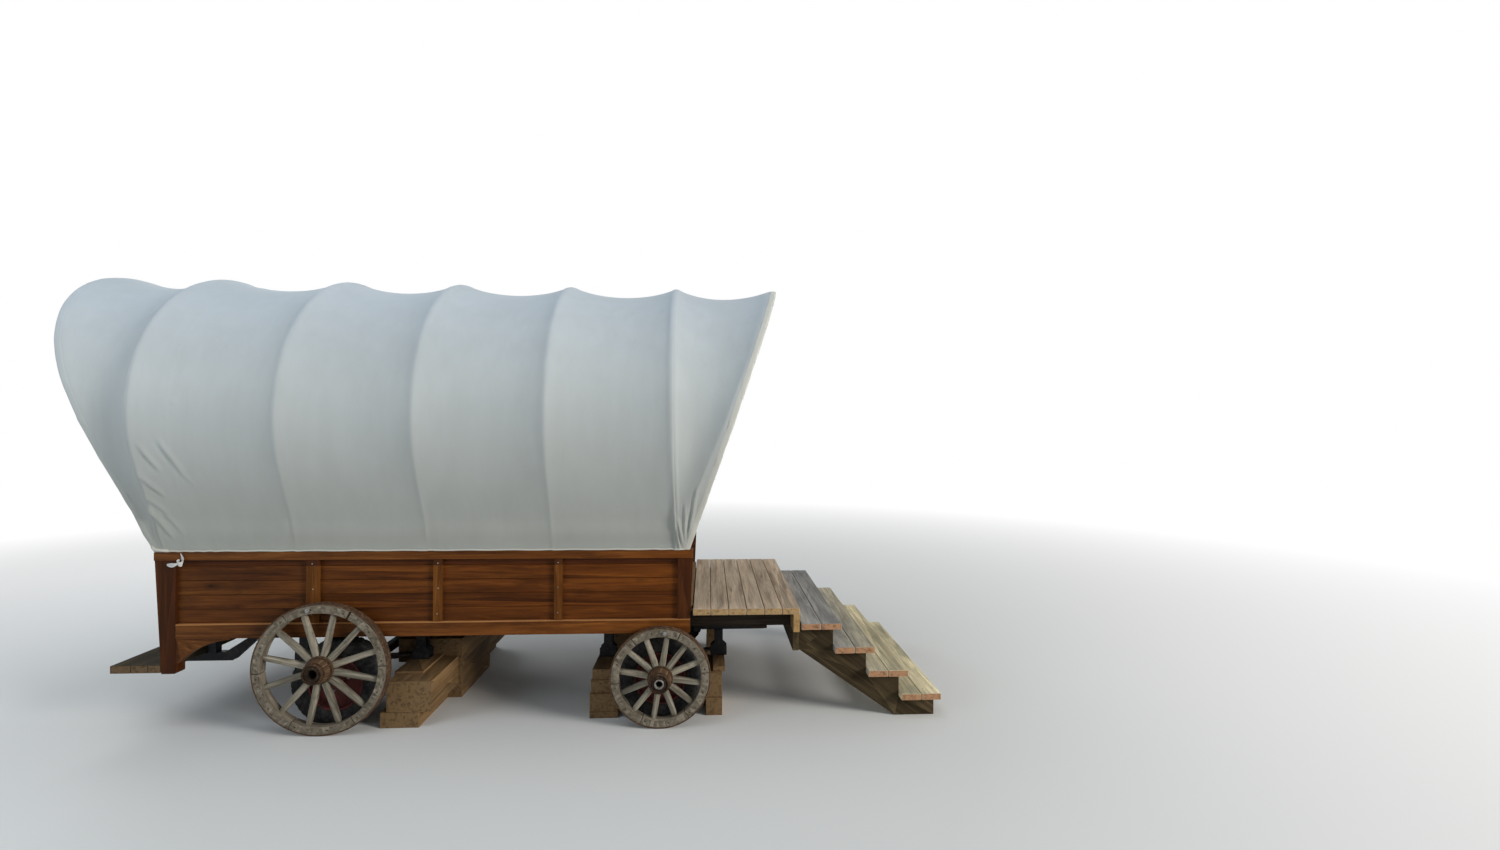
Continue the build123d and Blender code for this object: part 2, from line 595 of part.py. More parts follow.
# Front deck: planks across, a fascia at their end and a ledger under it for the stairs
DECK_PITCH = DECK_LENGTH / DECK_PLANK_COUNT
with BuildPart() as deck_planks:
    for number in range(DECK_PLANK_COUNT):
        low_x = FRONT_X + number * DECK_PITCH + DECK_PLANK_GAP
        high_x = FRONT_X + (number + 1) * DECK_PITCH
        block((low_x, high_x), (-DECK_HALF, DECK_HALF), (FLOOR_UNDERSIDE + SEAT_GAP, FLOOR_HEIGHT))
pieces["deck_planks"] = deck_planks

with BuildPart() as deck_fascia:
    block((FASCIA_X, DECK_END_X), (-DECK_HALF, DECK_HALF), (BODY_BOTTOM, FLOOR_UNDERSIDE))
pieces["deck_fascia"] = deck_fascia

LEDGER_INSET = 40
LEDGER_TOP = BODY_BOTTOM - SEAT_GAP
LEDGER_BOTTOM = LEDGER_TOP - LEDGER_HEIGHT
LEDGER_HALF = DECK_HALF - LEDGER_INSET
with BuildPart() as stair_ledger:
    block((FASCIA_X, DECK_END_X), (-LEDGER_HALF, LEDGER_HALF), (LEDGER_BOTTOM, LEDGER_TOP))
pieces["stair_ledger"] = stair_ledger

# Stairs: cut stringers that stand on the ground, and treads of two planks
tread_tops = [FLOOR_HEIGHT - FIRST_DROP - number * STEP_RISE for number in range(TREAD_COUNT)]
tread_starts = [DECK_END_X + TREAD_GAP + number * STEP_RUN for number in range(TREAD_COUNT)]
STRINGER_MIDDLE = DECK_HALF - STRINGER_INSET
STRINGER_START = DECK_END_X + SEAT_GAP
STRINGER_HEEL = tread_starts[-1] - STRINGER_TOE
STRINGER_END = tread_starts[-1] + TREAD_WIDTH - STRINGER_TOE
with BuildPart() as stair_stringers:
    corners = [(STRINGER_START, tread_tops[0] - PLANK_THICKNESS - SEAT_GAP)]
    for number in range(TREAD_COUNT):
        seat = tread_tops[number] - PLANK_THICKNESS - SEAT_GAP
        if number == TREAD_COUNT - 1:
            corners += [(STRINGER_END, seat), (STRINGER_END, 0)]
        else:
            riser_x = tread_starts[number + 1] - SEAT_GAP
            corners += [(riser_x, seat), (riser_x, seat - STEP_RISE)]
    corners += [(STRINGER_HEEL, 0), (STRINGER_START, LEDGER_BOTTOM)]
    for side in SIDES:
        with BuildSketch(Plane.XZ.offset(-side * STRINGER_MIDDLE)):
            with BuildLine():
                Polyline(*corners, close=True)
            make_face()
        extrude(amount=PLANK_THICKNESS / 2, both=True)
pieces["stair_stringers"] = stair_stringers

with BuildPart() as stair_treads:
    for start, top in zip(tread_starts, tread_tops):
        for plank_start in (start, start + TREAD_WIDTH - TREAD_PLANK_WIDTH):
            x_span = (plank_start, plank_start + TREAD_PLANK_WIDTH)
            block(x_span, (-DECK_HALF, DECK_HALF), (top - PLANK_THICKNESS, top))
pieces["stair_treads"] = stair_treads

# Rear platform: planks across, behind the posts, on a steel frame below the rails
PLATFORM_TOP = 467
PLATFORM_THICKNESS = 52
PLATFORM_WIDTHS = (132, 108, 80)
PLATFORM_END_GAP = 2
PLATFORM_X = REAR_X + rake(PLATFORM_TOP) - PLATFORM_END_GAP - sum(PLATFORM_WIDTHS) - 2 * BOARD_GAP
with BuildPart() as rear_platform_planks:
    low_x = PLATFORM_X
    for width in PLATFORM_WIDTHS:
        z_span = (PLATFORM_TOP - PLATFORM_THICKNESS, PLATFORM_TOP)
        block((low_x, low_x + width), (-HALF_WIDTH, HALF_WIDTH), z_span)
        low_x += width + BOARD_GAP
pieces["rear_platform_planks"] = rear_platform_planks

ARM_SIZE = 60
ARM_TOP = PLATFORM_TOP - PLATFORM_THICKNESS - SEAT_GAP
ARM_INSET = 30
ARM_STATION = 240
STRUT_RUN = 200
ARM_POST_STATION = 60
ARM_X = (PLATFORM_X + ARM_INSET, REAR_X + ARM_STATION)
with BuildPart() as rear_platform_frame:
    for side in SIDES:
        y_span = span(side, RAIL_OFFSET - ARM_SIZE / 2, RAIL_OFFSET + ARM_SIZE / 2)
        block(ARM_X, y_span, (ARM_TOP - ARM_SIZE, ARM_TOP))
        post_x = REAR_X + ARM_POST_STATION
        block((post_x, post_x + ARM_SIZE), y_span, (ARM_TOP - ARM_SIZE, RAIL_BOTTOM - SEAT_GAP))
        with BuildSketch(Plane.XZ.offset(-side * RAIL_OFFSET)):
            with BuildLine():
                Polyline(
                    (ARM_X[1] - ARM_SIZE, ARM_TOP),
                    (ARM_X[1], ARM_TOP - ARM_SIZE),
                    (ARM_X[1] + STRUT_RUN, RAIL_BOTTOM - SEAT_GAP),
                    (ARM_X[1] + STRUT_RUN - ARM_SIZE, RAIL_BOTTOM - SEAT_GAP),
                    close=True,
                )
            make_face()
        extrude(amount=ARM_SIZE / 2, both=True)
    tie_y = RAIL_OFFSET - ARM_SIZE / 2
    block((ARM_X[0], ARM_X[0] + ARM_SIZE), (-tie_y, tie_y), (ARM_TOP - ARM_SIZE, ARM_TOP))
pieces["rear_platform_frame"] = rear_platform_frame

# Cart wheels: columns are the centre's shift from the axle, the radius, the first spoke's angle, how far the nave
# stands out of the rim, the nave's greatest radius, its face's radius, its bore's radius and the bolt's angle
SPOKE_COUNT = 12
FELLOE_COUNT = 6
WHEEL_GAP = 26
FELLOE_WIDTH = 65
FELLOE_DEPTH = 56
IRON_THICKNESS = 9
IRON_WIDTH = 59
NAVE_BACK = 12
NAVE_BARREL_HALF = 30
NAVE_LIP = 30
FELLOE_SLIT = 4
OPEN_SLIT = 15
CART_WHEELS = {
    "rear": (-40, 450, 18, 92, 96, 68, 31, 100.6),
    "front": (8, 354, 21, 110, 90, 68, 30, 84.6),
}
SPOKE_FOOT = (52, 42)
SPOKE_CHAMFER = 10
SPOKE_THINNING = 7
RIM_BACK = HALF_WIDTH + WHEEL_GAP
RIM_FACE = RIM_BACK + FELLOE_WIDTH
RIM_MIDDLE = (RIM_BACK + RIM_FACE) / 2
for name, row in CART_WHEELS.items():
    shift, radius, first_angle, nave_out, nave_radius, face_radius, bore_radius, bolt_angle = row
    wheel_x = AXLE_XS[name] + shift
    felloe_outer = radius - IRON_THICKNESS - SEAT_GAP
    felloe_inner = felloe_outer - FELLOE_DEPTH
    joint_angle = first_angle - 180 / SPOKE_COUNT
    with BuildPart() as naves:
        for side in SIDES:
            middle = (wheel_x, side * RIM_MIDDLE, radius)
            across = Plane(origin=middle, x_dir=(0, side, 0), z_dir=(side, 0, 0))
            neck_radius = (nave_radius + face_radius) / 2
            back = -FELLOE_WIDTH / 2 - NAVE_BACK
            front = FELLOE_WIDTH / 2 + nave_out
            with BuildSketch(across):
                with BuildLine():
                    Polyline(
                        (back, bore_radius),
                        (back, nave_radius),
                        (NAVE_BARREL_HALF, nave_radius),
                        (NAVE_BARREL_HALF, neck_radius),
                        (front - NAVE_LIP, neck_radius),
                        (front - NAVE_LIP, face_radius),
                        (front, face_radius),
                        (front, bore_radius),
                        close=True,
                    )
                make_face()
            revolve(axis=Axis(middle, (0, 1, 0)))
    pieces[f"{name}_cart_naves"] = naves
    spoke_foot = nave_radius + SEAT_GAP
    spoke_length = felloe_inner - 2 * SEAT_GAP - spoke_foot
    taper = math.degrees(math.atan2(SPOKE_THINNING, spoke_length))
    with BuildPart() as spokes:
        for side in SIDES:
            for number in range(SPOKE_COUNT):
                angle = math.radians(first_angle + number * 360 / SPOKE_COUNT)
                outward = (math.cos(angle), 0, math.sin(angle))
                foot = (wheel_x + spoke_foot * outward[0], side * RIM_MIDDLE, radius + spoke_foot * outward[2])
                with BuildSketch(Plane(origin=foot, x_dir=(0, 1, 0), z_dir=outward)) as spoke_section:
                    Rectangle(*SPOKE_FOOT)
                    chamfer(spoke_section.vertices(), SPOKE_CHAMFER)
                extrude(amount=spoke_length, taper=taper)
    pieces[f"{name}_cart_spokes"] = spokes
    with BuildPart() as felloes:
        for side in SIDES:
            with BuildSketch(Plane(origin=(wheel_x, side * RIM_MIDDLE, radius), x_dir=(1, 0, 0), z_dir=(0, -1, 0))):
                Circle(felloe_outer)
                Circle(felloe_inner, mode=Mode.SUBTRACT)
                with PolarLocations(felloe_outer, FELLOE_COUNT, start_angle=joint_angle):
                    Rectangle(4 * FELLOE_DEPTH, FELLOE_SLIT, mode=Mode.SUBTRACT)
                if name == "rear" and side == SIDES[0]:
                    with PolarLocations(felloe_outer, 1, start_angle=joint_angle + 360 / FELLOE_COUNT):
                        Rectangle(4 * FELLOE_DEPTH, OPEN_SLIT, mode=Mode.SUBTRACT)
            extrude(amount=FELLOE_WIDTH / 2, both=True)
    pieces[f"{name}_cart_felloes"] = felloes
    with BuildPart() as irons:
        for side in SIDES:
            with BuildSketch(Plane(origin=(wheel_x, side * RIM_MIDDLE, radius), x_dir=(1, 0, 0), z_dir=(0, -1, 0))):
                Circle(radius)
                Circle(radius - IRON_THICKNESS, mode=Mode.SUBTRACT)
            extrude(amount=IRON_WIDTH / 2, both=True)
    pieces[f"{name}_cart_irons"] = irons

# Bolts that hold the cart wheels to the body: a spacer behind the felloe and a head in front of it
SPACER_RADIUS = 20
HEAD_RADIUS = 16
HEAD_HEIGHT = 12
with BuildPart() as cart_wheel_bolts:
    for name, row in CART_WHEELS.items():
        wheel_x, radius, bolt_angle = AXLE_XS[name] + row[0], row[1], math.radians(row[-1])
        reach = radius - IRON_THICKNESS - FELLOE_DEPTH / 2
        bolt_x = wheel_x + reach * math.cos(bolt_angle)
        bolt_z = radius + reach * math.sin(bolt_angle)
        for side in SIDES:
            with BuildSketch(Plane(origin=(bolt_x, side * (HALF_WIDTH + SEAT_GAP), bolt_z), z_dir=(0, side, 0))):
                RegularPolygon(SPACER_RADIUS, 8)
            extrude(amount=WHEEL_GAP - 2 * SEAT_GAP)
            with BuildSketch(Plane(origin=(bolt_x, side * (RIM_FACE + SEAT_GAP), bolt_z), z_dir=(0, side, 0))):
                RegularPolygon(HEAD_RADIUS, 6)
            extrude(amount=HEAD_HEIGHT)
pieces["cart_wheel_bolts"] = cart_wheel_bolts

# Cribbing stacks under the spring hangers: columns are the axle, the way along it, and rows of layer top, width,
# shift from the hanger and how far the outer end stays inside the body's side
STACKS = {
    "rear_cribbing": ("rear", 1, ((108, 264, 20, 12), (325, 305, 80, 15), (HANGER_FOOT, 200, 20, 150))),
    "middle_cribbing": (
        "front",
        -1,
        ((45, 205, 15, 100), (175, 205, 15, 105), (268, 190, 12, 120), (HANGER_FOOT, 150, 0, 130)),
    ),
    "front_cribbing": ("front", 1, ((130, 120, -35, 110), (308, 116, -35, 120), (HANGER_FOOT, 90, 0, 150))),
}
STACK_INNER = 330
PACKING_HALF = STACK_INNER - SEAT_GAP
# Packing between the rear stacks: columns are the foot, the top, and the ends along the wagon from the rear hanger
PACKING = ((0, 280, -50, 258), (280, 458, -222, 258))
for name, (axle_name, way, layers) in STACKS.items():
    with BuildPart() as stack:
        low_z = 0
        hanger_x = AXLE_XS[axle_name] + way * SPRING_HALF_SPAN
        for high_z, width, shift, inset in layers:
            middle = hanger_x + shift
            for side in SIDES:
                x_span = (middle - width / 2, middle + width / 2)
                block(x_span, span(side, STACK_INNER, HALF_WIDTH - inset), (low_z, high_z - SEAT_GAP))
            low_z = high_z
        if name == "rear_cribbing":
            for foot_z, top_z, start, end in PACKING:
                block((hanger_x + start, hanger_x + end), (-PACKING_HALF, PACKING_HALF), (foot_z, top_z - SEAT_GAP))
    pieces[name] = stack

os.makedirs("parts", exist_ok=True)
for label, piece in pieces.items():
    piece.part.label = label
    export_step(piece.part, f"parts/{label}.step")
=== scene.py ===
import random
from itertools import product
from math import atan2, copysign, cos, exp, hypot, pi, radians, sin

import bpy
import numpy as np
from mathutils import Matrix, Vector
from numpy.linalg import norm


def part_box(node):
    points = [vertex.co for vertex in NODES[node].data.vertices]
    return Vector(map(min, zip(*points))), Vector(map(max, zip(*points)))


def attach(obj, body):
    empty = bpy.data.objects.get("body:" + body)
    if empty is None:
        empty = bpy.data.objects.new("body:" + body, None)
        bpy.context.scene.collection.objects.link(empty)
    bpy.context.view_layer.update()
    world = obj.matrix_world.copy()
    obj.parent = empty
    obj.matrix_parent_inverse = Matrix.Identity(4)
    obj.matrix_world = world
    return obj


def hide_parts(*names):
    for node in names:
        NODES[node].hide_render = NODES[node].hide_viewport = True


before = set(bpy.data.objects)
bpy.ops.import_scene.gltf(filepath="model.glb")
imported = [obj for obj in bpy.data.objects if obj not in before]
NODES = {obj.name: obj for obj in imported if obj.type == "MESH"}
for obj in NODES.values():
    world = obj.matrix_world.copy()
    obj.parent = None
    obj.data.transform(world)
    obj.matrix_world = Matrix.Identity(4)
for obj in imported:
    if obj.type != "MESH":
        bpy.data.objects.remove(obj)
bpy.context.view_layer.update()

# Covered wagon. Metres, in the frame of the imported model: +X to the front, +Y to the left side, +Z up.
REAR_X, FRONT_X = (corner.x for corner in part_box("cap_rails"))
SIDE_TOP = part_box("cap_rails")[1].z
HALF_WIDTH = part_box("lower_rails")[1].y
DICE = random.Random(7)
ENDS = ("rear", "front")
SIDES = {"right": -1, "left": 1}


def setting(thing, **values):
    """The thing, with its properties set."""
    for key, value in values.items():
        setattr(thing, key, value)
    return thing


def new_object(name, data):
    made = bpy.data.objects.new(name, data)
    bpy.context.scene.collection.objects.link(made)
    return made


# ---- Materials ----
class Shader:
    """A node tree written call by call. Inputs are sockets or plain values."""

    def __init__(self, owner, surface="BsdfPrincipled", output="OutputMaterial"):
        """owner is a world, or the name of a new material."""
        self.owner = bpy.data.materials.new(owner) if isinstance(owner, str) else owner
        self.owner.use_nodes = True
        self.tree = self.owner.node_tree
        self.tree.nodes.clear()
        self.surface = self.node(surface)
        self.output = self.node(output, {0: self.surface.outputs[0]})

    def node(self, kind, inputs=None, **settings):
        node = setting(self.tree.nodes.new("ShaderNode" + kind), **settings)
        for key, value in (inputs or {}).items():
            self.put(node.inputs[key], value)
        return node

    def put(self, socket, value):
        if isinstance(value, bpy.types.NodeSocket):
            self.tree.links.new(value, socket)
        elif socket.type == "RGBA" and len(value) == 3:
            socket.default_value = (*value, 1)
        else:
            socket.default_value = value

    def math(self, operation, a, b=0.0):
        return self.node("Math", {0: a, 1: b}, operation=operation).outputs[0]

    def times(self, a, b):
        return self.math("MULTIPLY", a, b)

    def place(self):
        """Coordinates in metres, in the wagon's frame."""
        return self.node("TexCoord").outputs["Object"]

    def xyz(self, vector=None):
        """The X, Y and Z of a vector, or of the place."""
        return self.node("SeparateXYZ", {0: self.place() if vector is None else vector}).outputs

    def island(self):
        """A number from 0 to 1 that differs from board to board."""
        return self.node("NewGeometry").outputs["Random Per Island"]

    def scaled(self, vector, scale, turn=(0, 0, 0)):
        return self.node("Mapping", {"Vector": vector, "Scale": scale, "Rotation": turn}).outputs[0]

    def noise(self, vector, scale, detail=4, rough=0.55, distortion=0.0):
        inputs = {"Vector": vector, "Scale": scale, "Detail": detail, "Roughness": rough, "Distortion": distortion}
        return self.node("TexNoise", inputs).outputs[0]

    def span(self, value, low, high, to_low=0.0, to_high=1.0):
        return self.node("MapRange", {0: value, 1: low, 2: high, 3: to_low, 4: to_high}).outputs[0]

    def mix(self, share, a, b, blend="MIX"):
        return self.node("Mix", {0: share, 6: a, 7: b}, data_type="RGBA", blend_type=blend).outputs[2]

    def tinted(self, colour, tint, share=1.0):
        return self.mix(share, colour, tint, "MULTIPLY")

    def island_tone(self, colour, tone):
        """The colour, darker or lighter by up to a share from board to board."""
        part = self.math("FRACT", self.times(self.island(), 7.31))
        return self.tinted(colour, self.span(part, 0, 1, 1 - tone, 1 + tone))

    def ramp(self, value, *stops):
        """Stops are a place and a colour, or one number for a grey."""
        node = self.node("ValToRGB", {0: value})
        elements = node.color_ramp.elements
        while len(elements) < len(stops):
            elements.new(0.5)
        for element, (position, colour) in zip(elements, stops):
            element.position = position
            element.color = (*(colour if isinstance(colour, tuple) else 3 * (colour,)), 1)
        return node.outputs[0]

    def bumps(self, *steps):
        """A normal turned by one relief after another. Steps are a height, its strength and its distance."""
        normal = {}
        for height, strength, distance in steps:
            inputs = {"Height": height, "Strength": strength, "Distance": distance, **normal}
            normal = {"Normal": self.node("Bump", inputs).outputs[0]}
        return normal["Normal"]

    def finish(self, **inputs):
        for key, value in inputs.items():
            self.put(self.surface.inputs[key.replace("_", " ")], value)
        return self.owner

    def finish_wood(self, colour, rough, gloss, fibres, *steps):
        roughness = self.span(fibres, 0.3, 0.7, rough - 0.1, rough + 0.12)
        return self.finish(Base_Color=colour, Roughness=roughness, Normal=self.bumps(*steps), Specular_IOR_Level=gloss)

    def overlay(self, share, kind, inputs):
        """Lays another shader over the surface by a share."""
        over = self.node(kind, inputs).outputs[0]
        both = self.node("MixShader", {0: share, 1: self.surface.outputs[0], 2: over})
        self.put(self.output.inputs[0], both.outputs[0])
        return self.owner


GRAIN = {"X": (0.06, 1, 1), "Y": (1, 0.06, 1), "Z": (1, 1, 0.06)}
BOARD_SHIFT = (31, 17, 23)


def dimmed(colour, share):
    return tuple(value * share for value in colour)


def wood(name, tones, axis="X", turn=None, knots=0.0, tone=0.35, rough=0.6, dirt=None, fade=0.0, ends=None,
         along_x=None, gloss=0.3, lip=None, thin=None):
    """Boards with grain along an axis, each of its own tone. dirt is a colour for stains, fade a grey weathering,
    ends the colour of the end grain, along_x two places and two tints that the colour is multiplied by, lip the
    height above which the colour is another one, and that colour, and thin the axis across the boards' faces."""
    s = Shader(name)
    grain = GRAIN[axis]
    shift = {index: s.times(s.island(), amount) for index, amount in enumerate(BOARD_SHIFT)}
    place = s.scaled(s.place(), (1, 1, 1), turn) if turn else s.place()
    place = s.node("VectorMath", {0: place, 1: s.node("CombineXYZ", shift).outputs[0]}, operation="ADD").outputs[0]
    along = s.scaled(place, grain)
    warp = s.noise(along, 9, 2, 0.5)
    bands = s.noise(along, 26, 5, 0.62, 0.9)
    fibres = s.noise(s.scaled(place, tuple(value ** 1.5 for value in grain)), 210, 3, 0.7)
    lines = s.math("ADD", s.times(bands, 0.65), s.times(warp, 0.35))
    colour = s.ramp(lines, *zip((0.3, 0.5, 0.72), tones))
    colour = s.tinted(colour, s.ramp(fibres, (0.3, 0.55), (0.62, 1.2)), 0.55)
    if knots:
        across = thin or ("Z" if axis == "Y" else "Y")
        cells = s.scaled(place, tuple(0.02 if letter == across else 2.1 if value == 1 else 0.9
                                      for letter, value in zip("XYZ", grain)))
        knot = s.node("TexVoronoi", {"Vector": cells, "Scale": 3.1}).outputs
        chosen = s.math("LESS_THAN", s.node("SeparateColor", {0: knot[1]}).outputs[0], knots)
        for outer, inner, share, dim in ((0.2, 0.06, 0.55, 1), (0.065, 0.03, 0.9, 0.25)):
            spot = s.times(chosen, s.span(knot[0], outer, inner))
            colour = s.mix(s.times(spot, share), colour, dimmed(tones[0], dim))
    colour = s.island_tone(colour, tone)
    if fade:
        grey = s.noise(along, 14, 3, 0.6)
        colour = s.mix(s.times(s.span(grey, 0.4, 0.65), fade), colour, (0.3, 0.29, 0.27))
    if dirt:
        stain = s.noise(s.scaled(place, tuple(max(value, 0.35) for value in grain)), 4.5, 5, 0.6)
        colour = s.mix(s.span(stain, 0.48, 0.7, 0, 0.75), colour, dirt)
    if along_x:
        low, high, first, second = along_x
        colour = s.tinted(colour, s.mix(s.span(s.xyz()["X"], low, high), first, second))
    # Above the lip's height another colour: on the lower rails a painted highlight along the lit top edge, with a
    # little wear
    if lip:
        height, lip_colour = lip
        lip_share = s.times(s.span(s.xyz()["Z"], height - 0.004, height), s.span(bands, 0.35, 0.5, 0.4, 0.9))
        colour = s.mix(lip_share, colour, lip_colour)
    if ends:
        facing = s.math("ABSOLUTE", s.xyz(s.node("NewGeometry").outputs["Normal"])[axis])
        rings = s.node("TexWave", {"Vector": place, "Scale": 55, "Distortion": 3.5, "Detail": 3},
                       wave_type="RINGS").outputs[1]
        spots = s.noise(place, 38, 4, 0.65)
        cut = s.mix(s.times(rings, 0.6), ends, dimmed(ends, 0.45))
        cut = s.mix(s.span(spots, 0.48, 0.66, 0, 0.8), cut, dimmed(ends, 0.3))
        colour = s.mix(s.span(facing, 0.8, 0.95), colour, cut)
    return s.finish_wood(colour, rough, gloss, fibres, (fibres, 0.35, 0.0015), (bands, 0.3, 0.003))


# Wheel timber: how the grain is scaled round the wheel, out from the hub and across, and the gloss
WHEEL_GRAIN = {"rim": ((0.07, 1, 1), 0.15), "spoke": ((1, 0.07, 1), 0.15), "nave": ((1, 1, 0.1), 0.05)}
# Tones of the nave by the distance from its axis, in tenths of a metre: dark bore (painted shade), pale ring, dark
# face (painted shade in its recess), warm side
NAVE_RINGS_AND_SHADE = ((0.3, 0.25), (0.42, (0.45, 0.42, 0.4)), (0.47, (1.5, 1.4, 1.3)), (0.52, (0.55, 0.5, 0.5)),
              (0.64, (0.65, 0.6, 0.55)), (0.7, (1.9, 1.6, 1.2)), (0.8, (2.0, 1.75, 1.3)), (0.95, (1.5, 1.4, 1.1)))


def wheel_wood(name, centre, radius, tones, kind):
    """Weathered wheel timber with its grain along the rim, out along the spokes or across the nave."""
    s = Shader(name)
    grain, gloss = WHEEL_GRAIN[kind]
    x, y, z = s.xyz()
    x, z = s.math("SUBTRACT", x, centre[0]), s.math("SUBTRACT", z, centre[1])
    reach = s.math("SQRT", s.math("ADD", s.times(x, x), s.times(z, z)))
    flat = {0: s.math("ADD", s.times(s.math("ARCTAN2", z, x), radius), s.times(s.island(), 13)),
            1: s.math("ADD", reach, s.times(s.math("SIGN", y), 3)), 2: y}
    flat = s.node("CombineXYZ", flat).outputs[0]
    bands = s.noise(s.scaled(flat, grain), 30, 4, 0.6, 0.5)
    fibres = s.noise(s.scaled(flat, tuple(value ** 1.4 for value in grain)), 230, 3, 0.7)
    colour = s.ramp(bands, *zip((0.3, 0.5, 0.7), tones))
    colour = s.tinted(colour, s.ramp(fibres, (0.28, 0.55), (0.38, 1), (0.75, 1.1)), 0.5)
    if kind == "nave":
        # The bore and the recess of the nave's face are darkened: painted shade
        colour = s.tinted(colour, s.ramp(s.times(reach, 10), *NAVE_RINGS_AND_SHADE))
    colour = s.island_tone(colour, 0.25)
    soil = s.noise(s.place(), 13, 4, 0.65)
    colour = s.mix(s.span(soil, 0.5, 0.72, 0, 0.55), colour, (0.07, 0.055, 0.035))
    return s.finish_wood(colour, 0.75, gloss, fibres, (fibres, 0.3, 0.0008), (bands, 0.2, 0.0018))


def metal(name, base, second, metallic=0.0, rough=0.45, scale=30):
    """Painted or rusted metal: a base colour broken by patches of a second one."""
    s = Shader(name)
    patches = s.noise(s.place(), scale, 6, 0.65)
    wide = s.noise(s.place(), scale / 7, 3, 0.5)
    colour = s.tinted(s.mix(s.span(patches, 0.5, 0.62), base, second), s.ramp(wide, (0.3, 0.7), (0.7, 1.2)), 0.6)
    return s.finish(Base_Color=colour, Metallic=metallic, Roughness=s.span(patches, 0.3, 0.7, rough, rough + 0.3),
                    Normal=s.bumps((patches, 0.4, 0.0008)), Specular_IOR_Level=0.2)


WEAVE = 1500


def canvas_material(name, top, middle, low):
    """Heavy cotton canvas with a fine weave, faint stains and a little light coming through. Its colour runs from low
    to top with height, with light and shade painted in.
    """
    s = Shader(name)
    place = s.place()
    # Painted light and shade: on the cover the colour is bluer towards the top and darker, greyer towards the foot,
    # where it is also partly dirt
    height = s.span(s.xyz()["Z"], SIDE_TOP + 0.1, SIDE_TOP + 1.8)
    colour = s.ramp(height, (0.0, low), (0.62, middle), (1.0, top))
    streaks = s.noise(s.scaled(place, (1, 1, 0.12)), 11, 4, 0.6)
    clouds = s.noise(place, 1.7)
    colour = s.tinted(colour, s.ramp(streaks, (0.35, (0.93, 0.93, 0.92)), (0.65, 1.02)), 0.5)
    colour = s.tinted(colour, s.ramp(clouds, (0.35, (0.93, 0.935, 0.93)), (0.65, 1.03)), 0.6)
    specks = s.node("TexVoronoi", {"Vector": place, "Scale": 9.0}).outputs[0]
    colour = s.mix(s.span(specks, 0.035, 0.012, 0, 0.35), colour, (0.35, 0.33, 0.28))
    threads = s.noise(place, WEAVE, 1, 0.5)
    slubs = s.noise(s.scaled(place, (1, 1, 0.15)), 160, 3, 0.6)
    creases = s.noise(s.scaled(place, (1, 1, 0.45), (0, 0.35, 0)), 5.5, 3, 0.5, 0.4)
    normal = s.bumps((threads, 0.12, 0.0006), (slubs, 0.1, 0.0012), (creases, 0.22, 0.012))
    s.finish(Base_Color=colour, Roughness=0.82, Normal=normal, Sheen_Weight=0.08, Sheen_Roughness=0.6)
    return s.overlay(0.16, "BsdfTranslucent", {"Color": (0.8, 0.8, 0.76), "Normal": normal})


def rubber_material():
    s = Shader("rubber")
    dust = s.noise(s.place(), 24, 5, 0.65)
    colour = s.mix(s.span(dust, 0.42, 0.68), (0.01, 0.01, 0.012), (0.06, 0.056, 0.05))
    return s.finish(Base_Color=colour, Roughness=s.span(dust, 0.3, 0.7, 0.6, 0.9), Normal=s.bumps((dust, 0.3, 0.001)),
                    Specular_IOR_Level=0.2)


# Widths of the rounded edges in metres, where they aren't EDGE_WIDTH
EDGE = {"chassis_rails": 0.002, "leaf_springs": 0.0012, "spring_hangers": 0.0015, "right_side_boards": 0.0012,
        "left_side_boards": 0.0012, "deck_planks": 0.004, "stair_treads": 0.005,
        "rear_cart_felloes": 0.005, "front_cart_felloes": 0.0045, "rear_cart_irons": 0.002, "front_cart_irons": 0.002}
EDGE_WIDTH = 0.003


def dress(material, *names):
    """Puts a material on nodes of the model and rounds their edges."""
    for name in names:
        node = NODES[name]
        node.data.materials.clear()
        node.data.materials.append(material)
        setting(node.modifiers.new("weld", "WELD"), merge_threshold=0.00001)
        setting(node.modifiers.new("bevel", "BEVEL"), width=EDGE.get(name, EDGE_WIDTH), segments=2,
                limit_method="ANGLE", angle_limit=radians(40))
        setting(node.modifiers.new("normals", "WEIGHTED_NORMAL"), weight=80)
    return material


# Tones of the woods: dark, middle and light
STAIN = (0.032, 0.009, 0.0025), (0.098, 0.03, 0.0062), (0.2, 0.068, 0.013)
WARM = (0.046, 0.015, 0.004), (0.112, 0.038, 0.009), (0.21, 0.078, 0.019)
FRIEZE = (0.018, 0.005, 0.002), (0.05, 0.014, 0.004), (0.1, 0.032, 0.008)
POST = (0.022, 0.006, 0.002), (0.052, 0.015, 0.004), (0.105, 0.034, 0.009)
BATTEN = (0.045, 0.014, 0.003), (0.112, 0.038, 0.007), (0.21, 0.08, 0.016)
GREYED = (0.17, 0.12, 0.08), (0.56, 0.425, 0.3), (0.8, 0.66, 0.5)
PLATFORM = (0.02, 0.016, 0.009), (0.054, 0.043, 0.026), (0.12, 0.096, 0.062)
TREAD = (0.11, 0.11, 0.105), (0.31, 0.305, 0.285), (0.62, 0.61, 0.56)
FASCIA = (0.16, 0.1, 0.045), (0.34, 0.22, 0.1), (0.5, 0.34, 0.17)
PINE_IN_PAINTED_SHADE = (0.022, 0.015, 0.008), (0.052, 0.037, 0.02), (0.125, 0.095, 0.052)
ROUGH = (0.085, 0.048, 0.02), (0.18, 0.105, 0.045), (0.3, 0.19, 0.095)
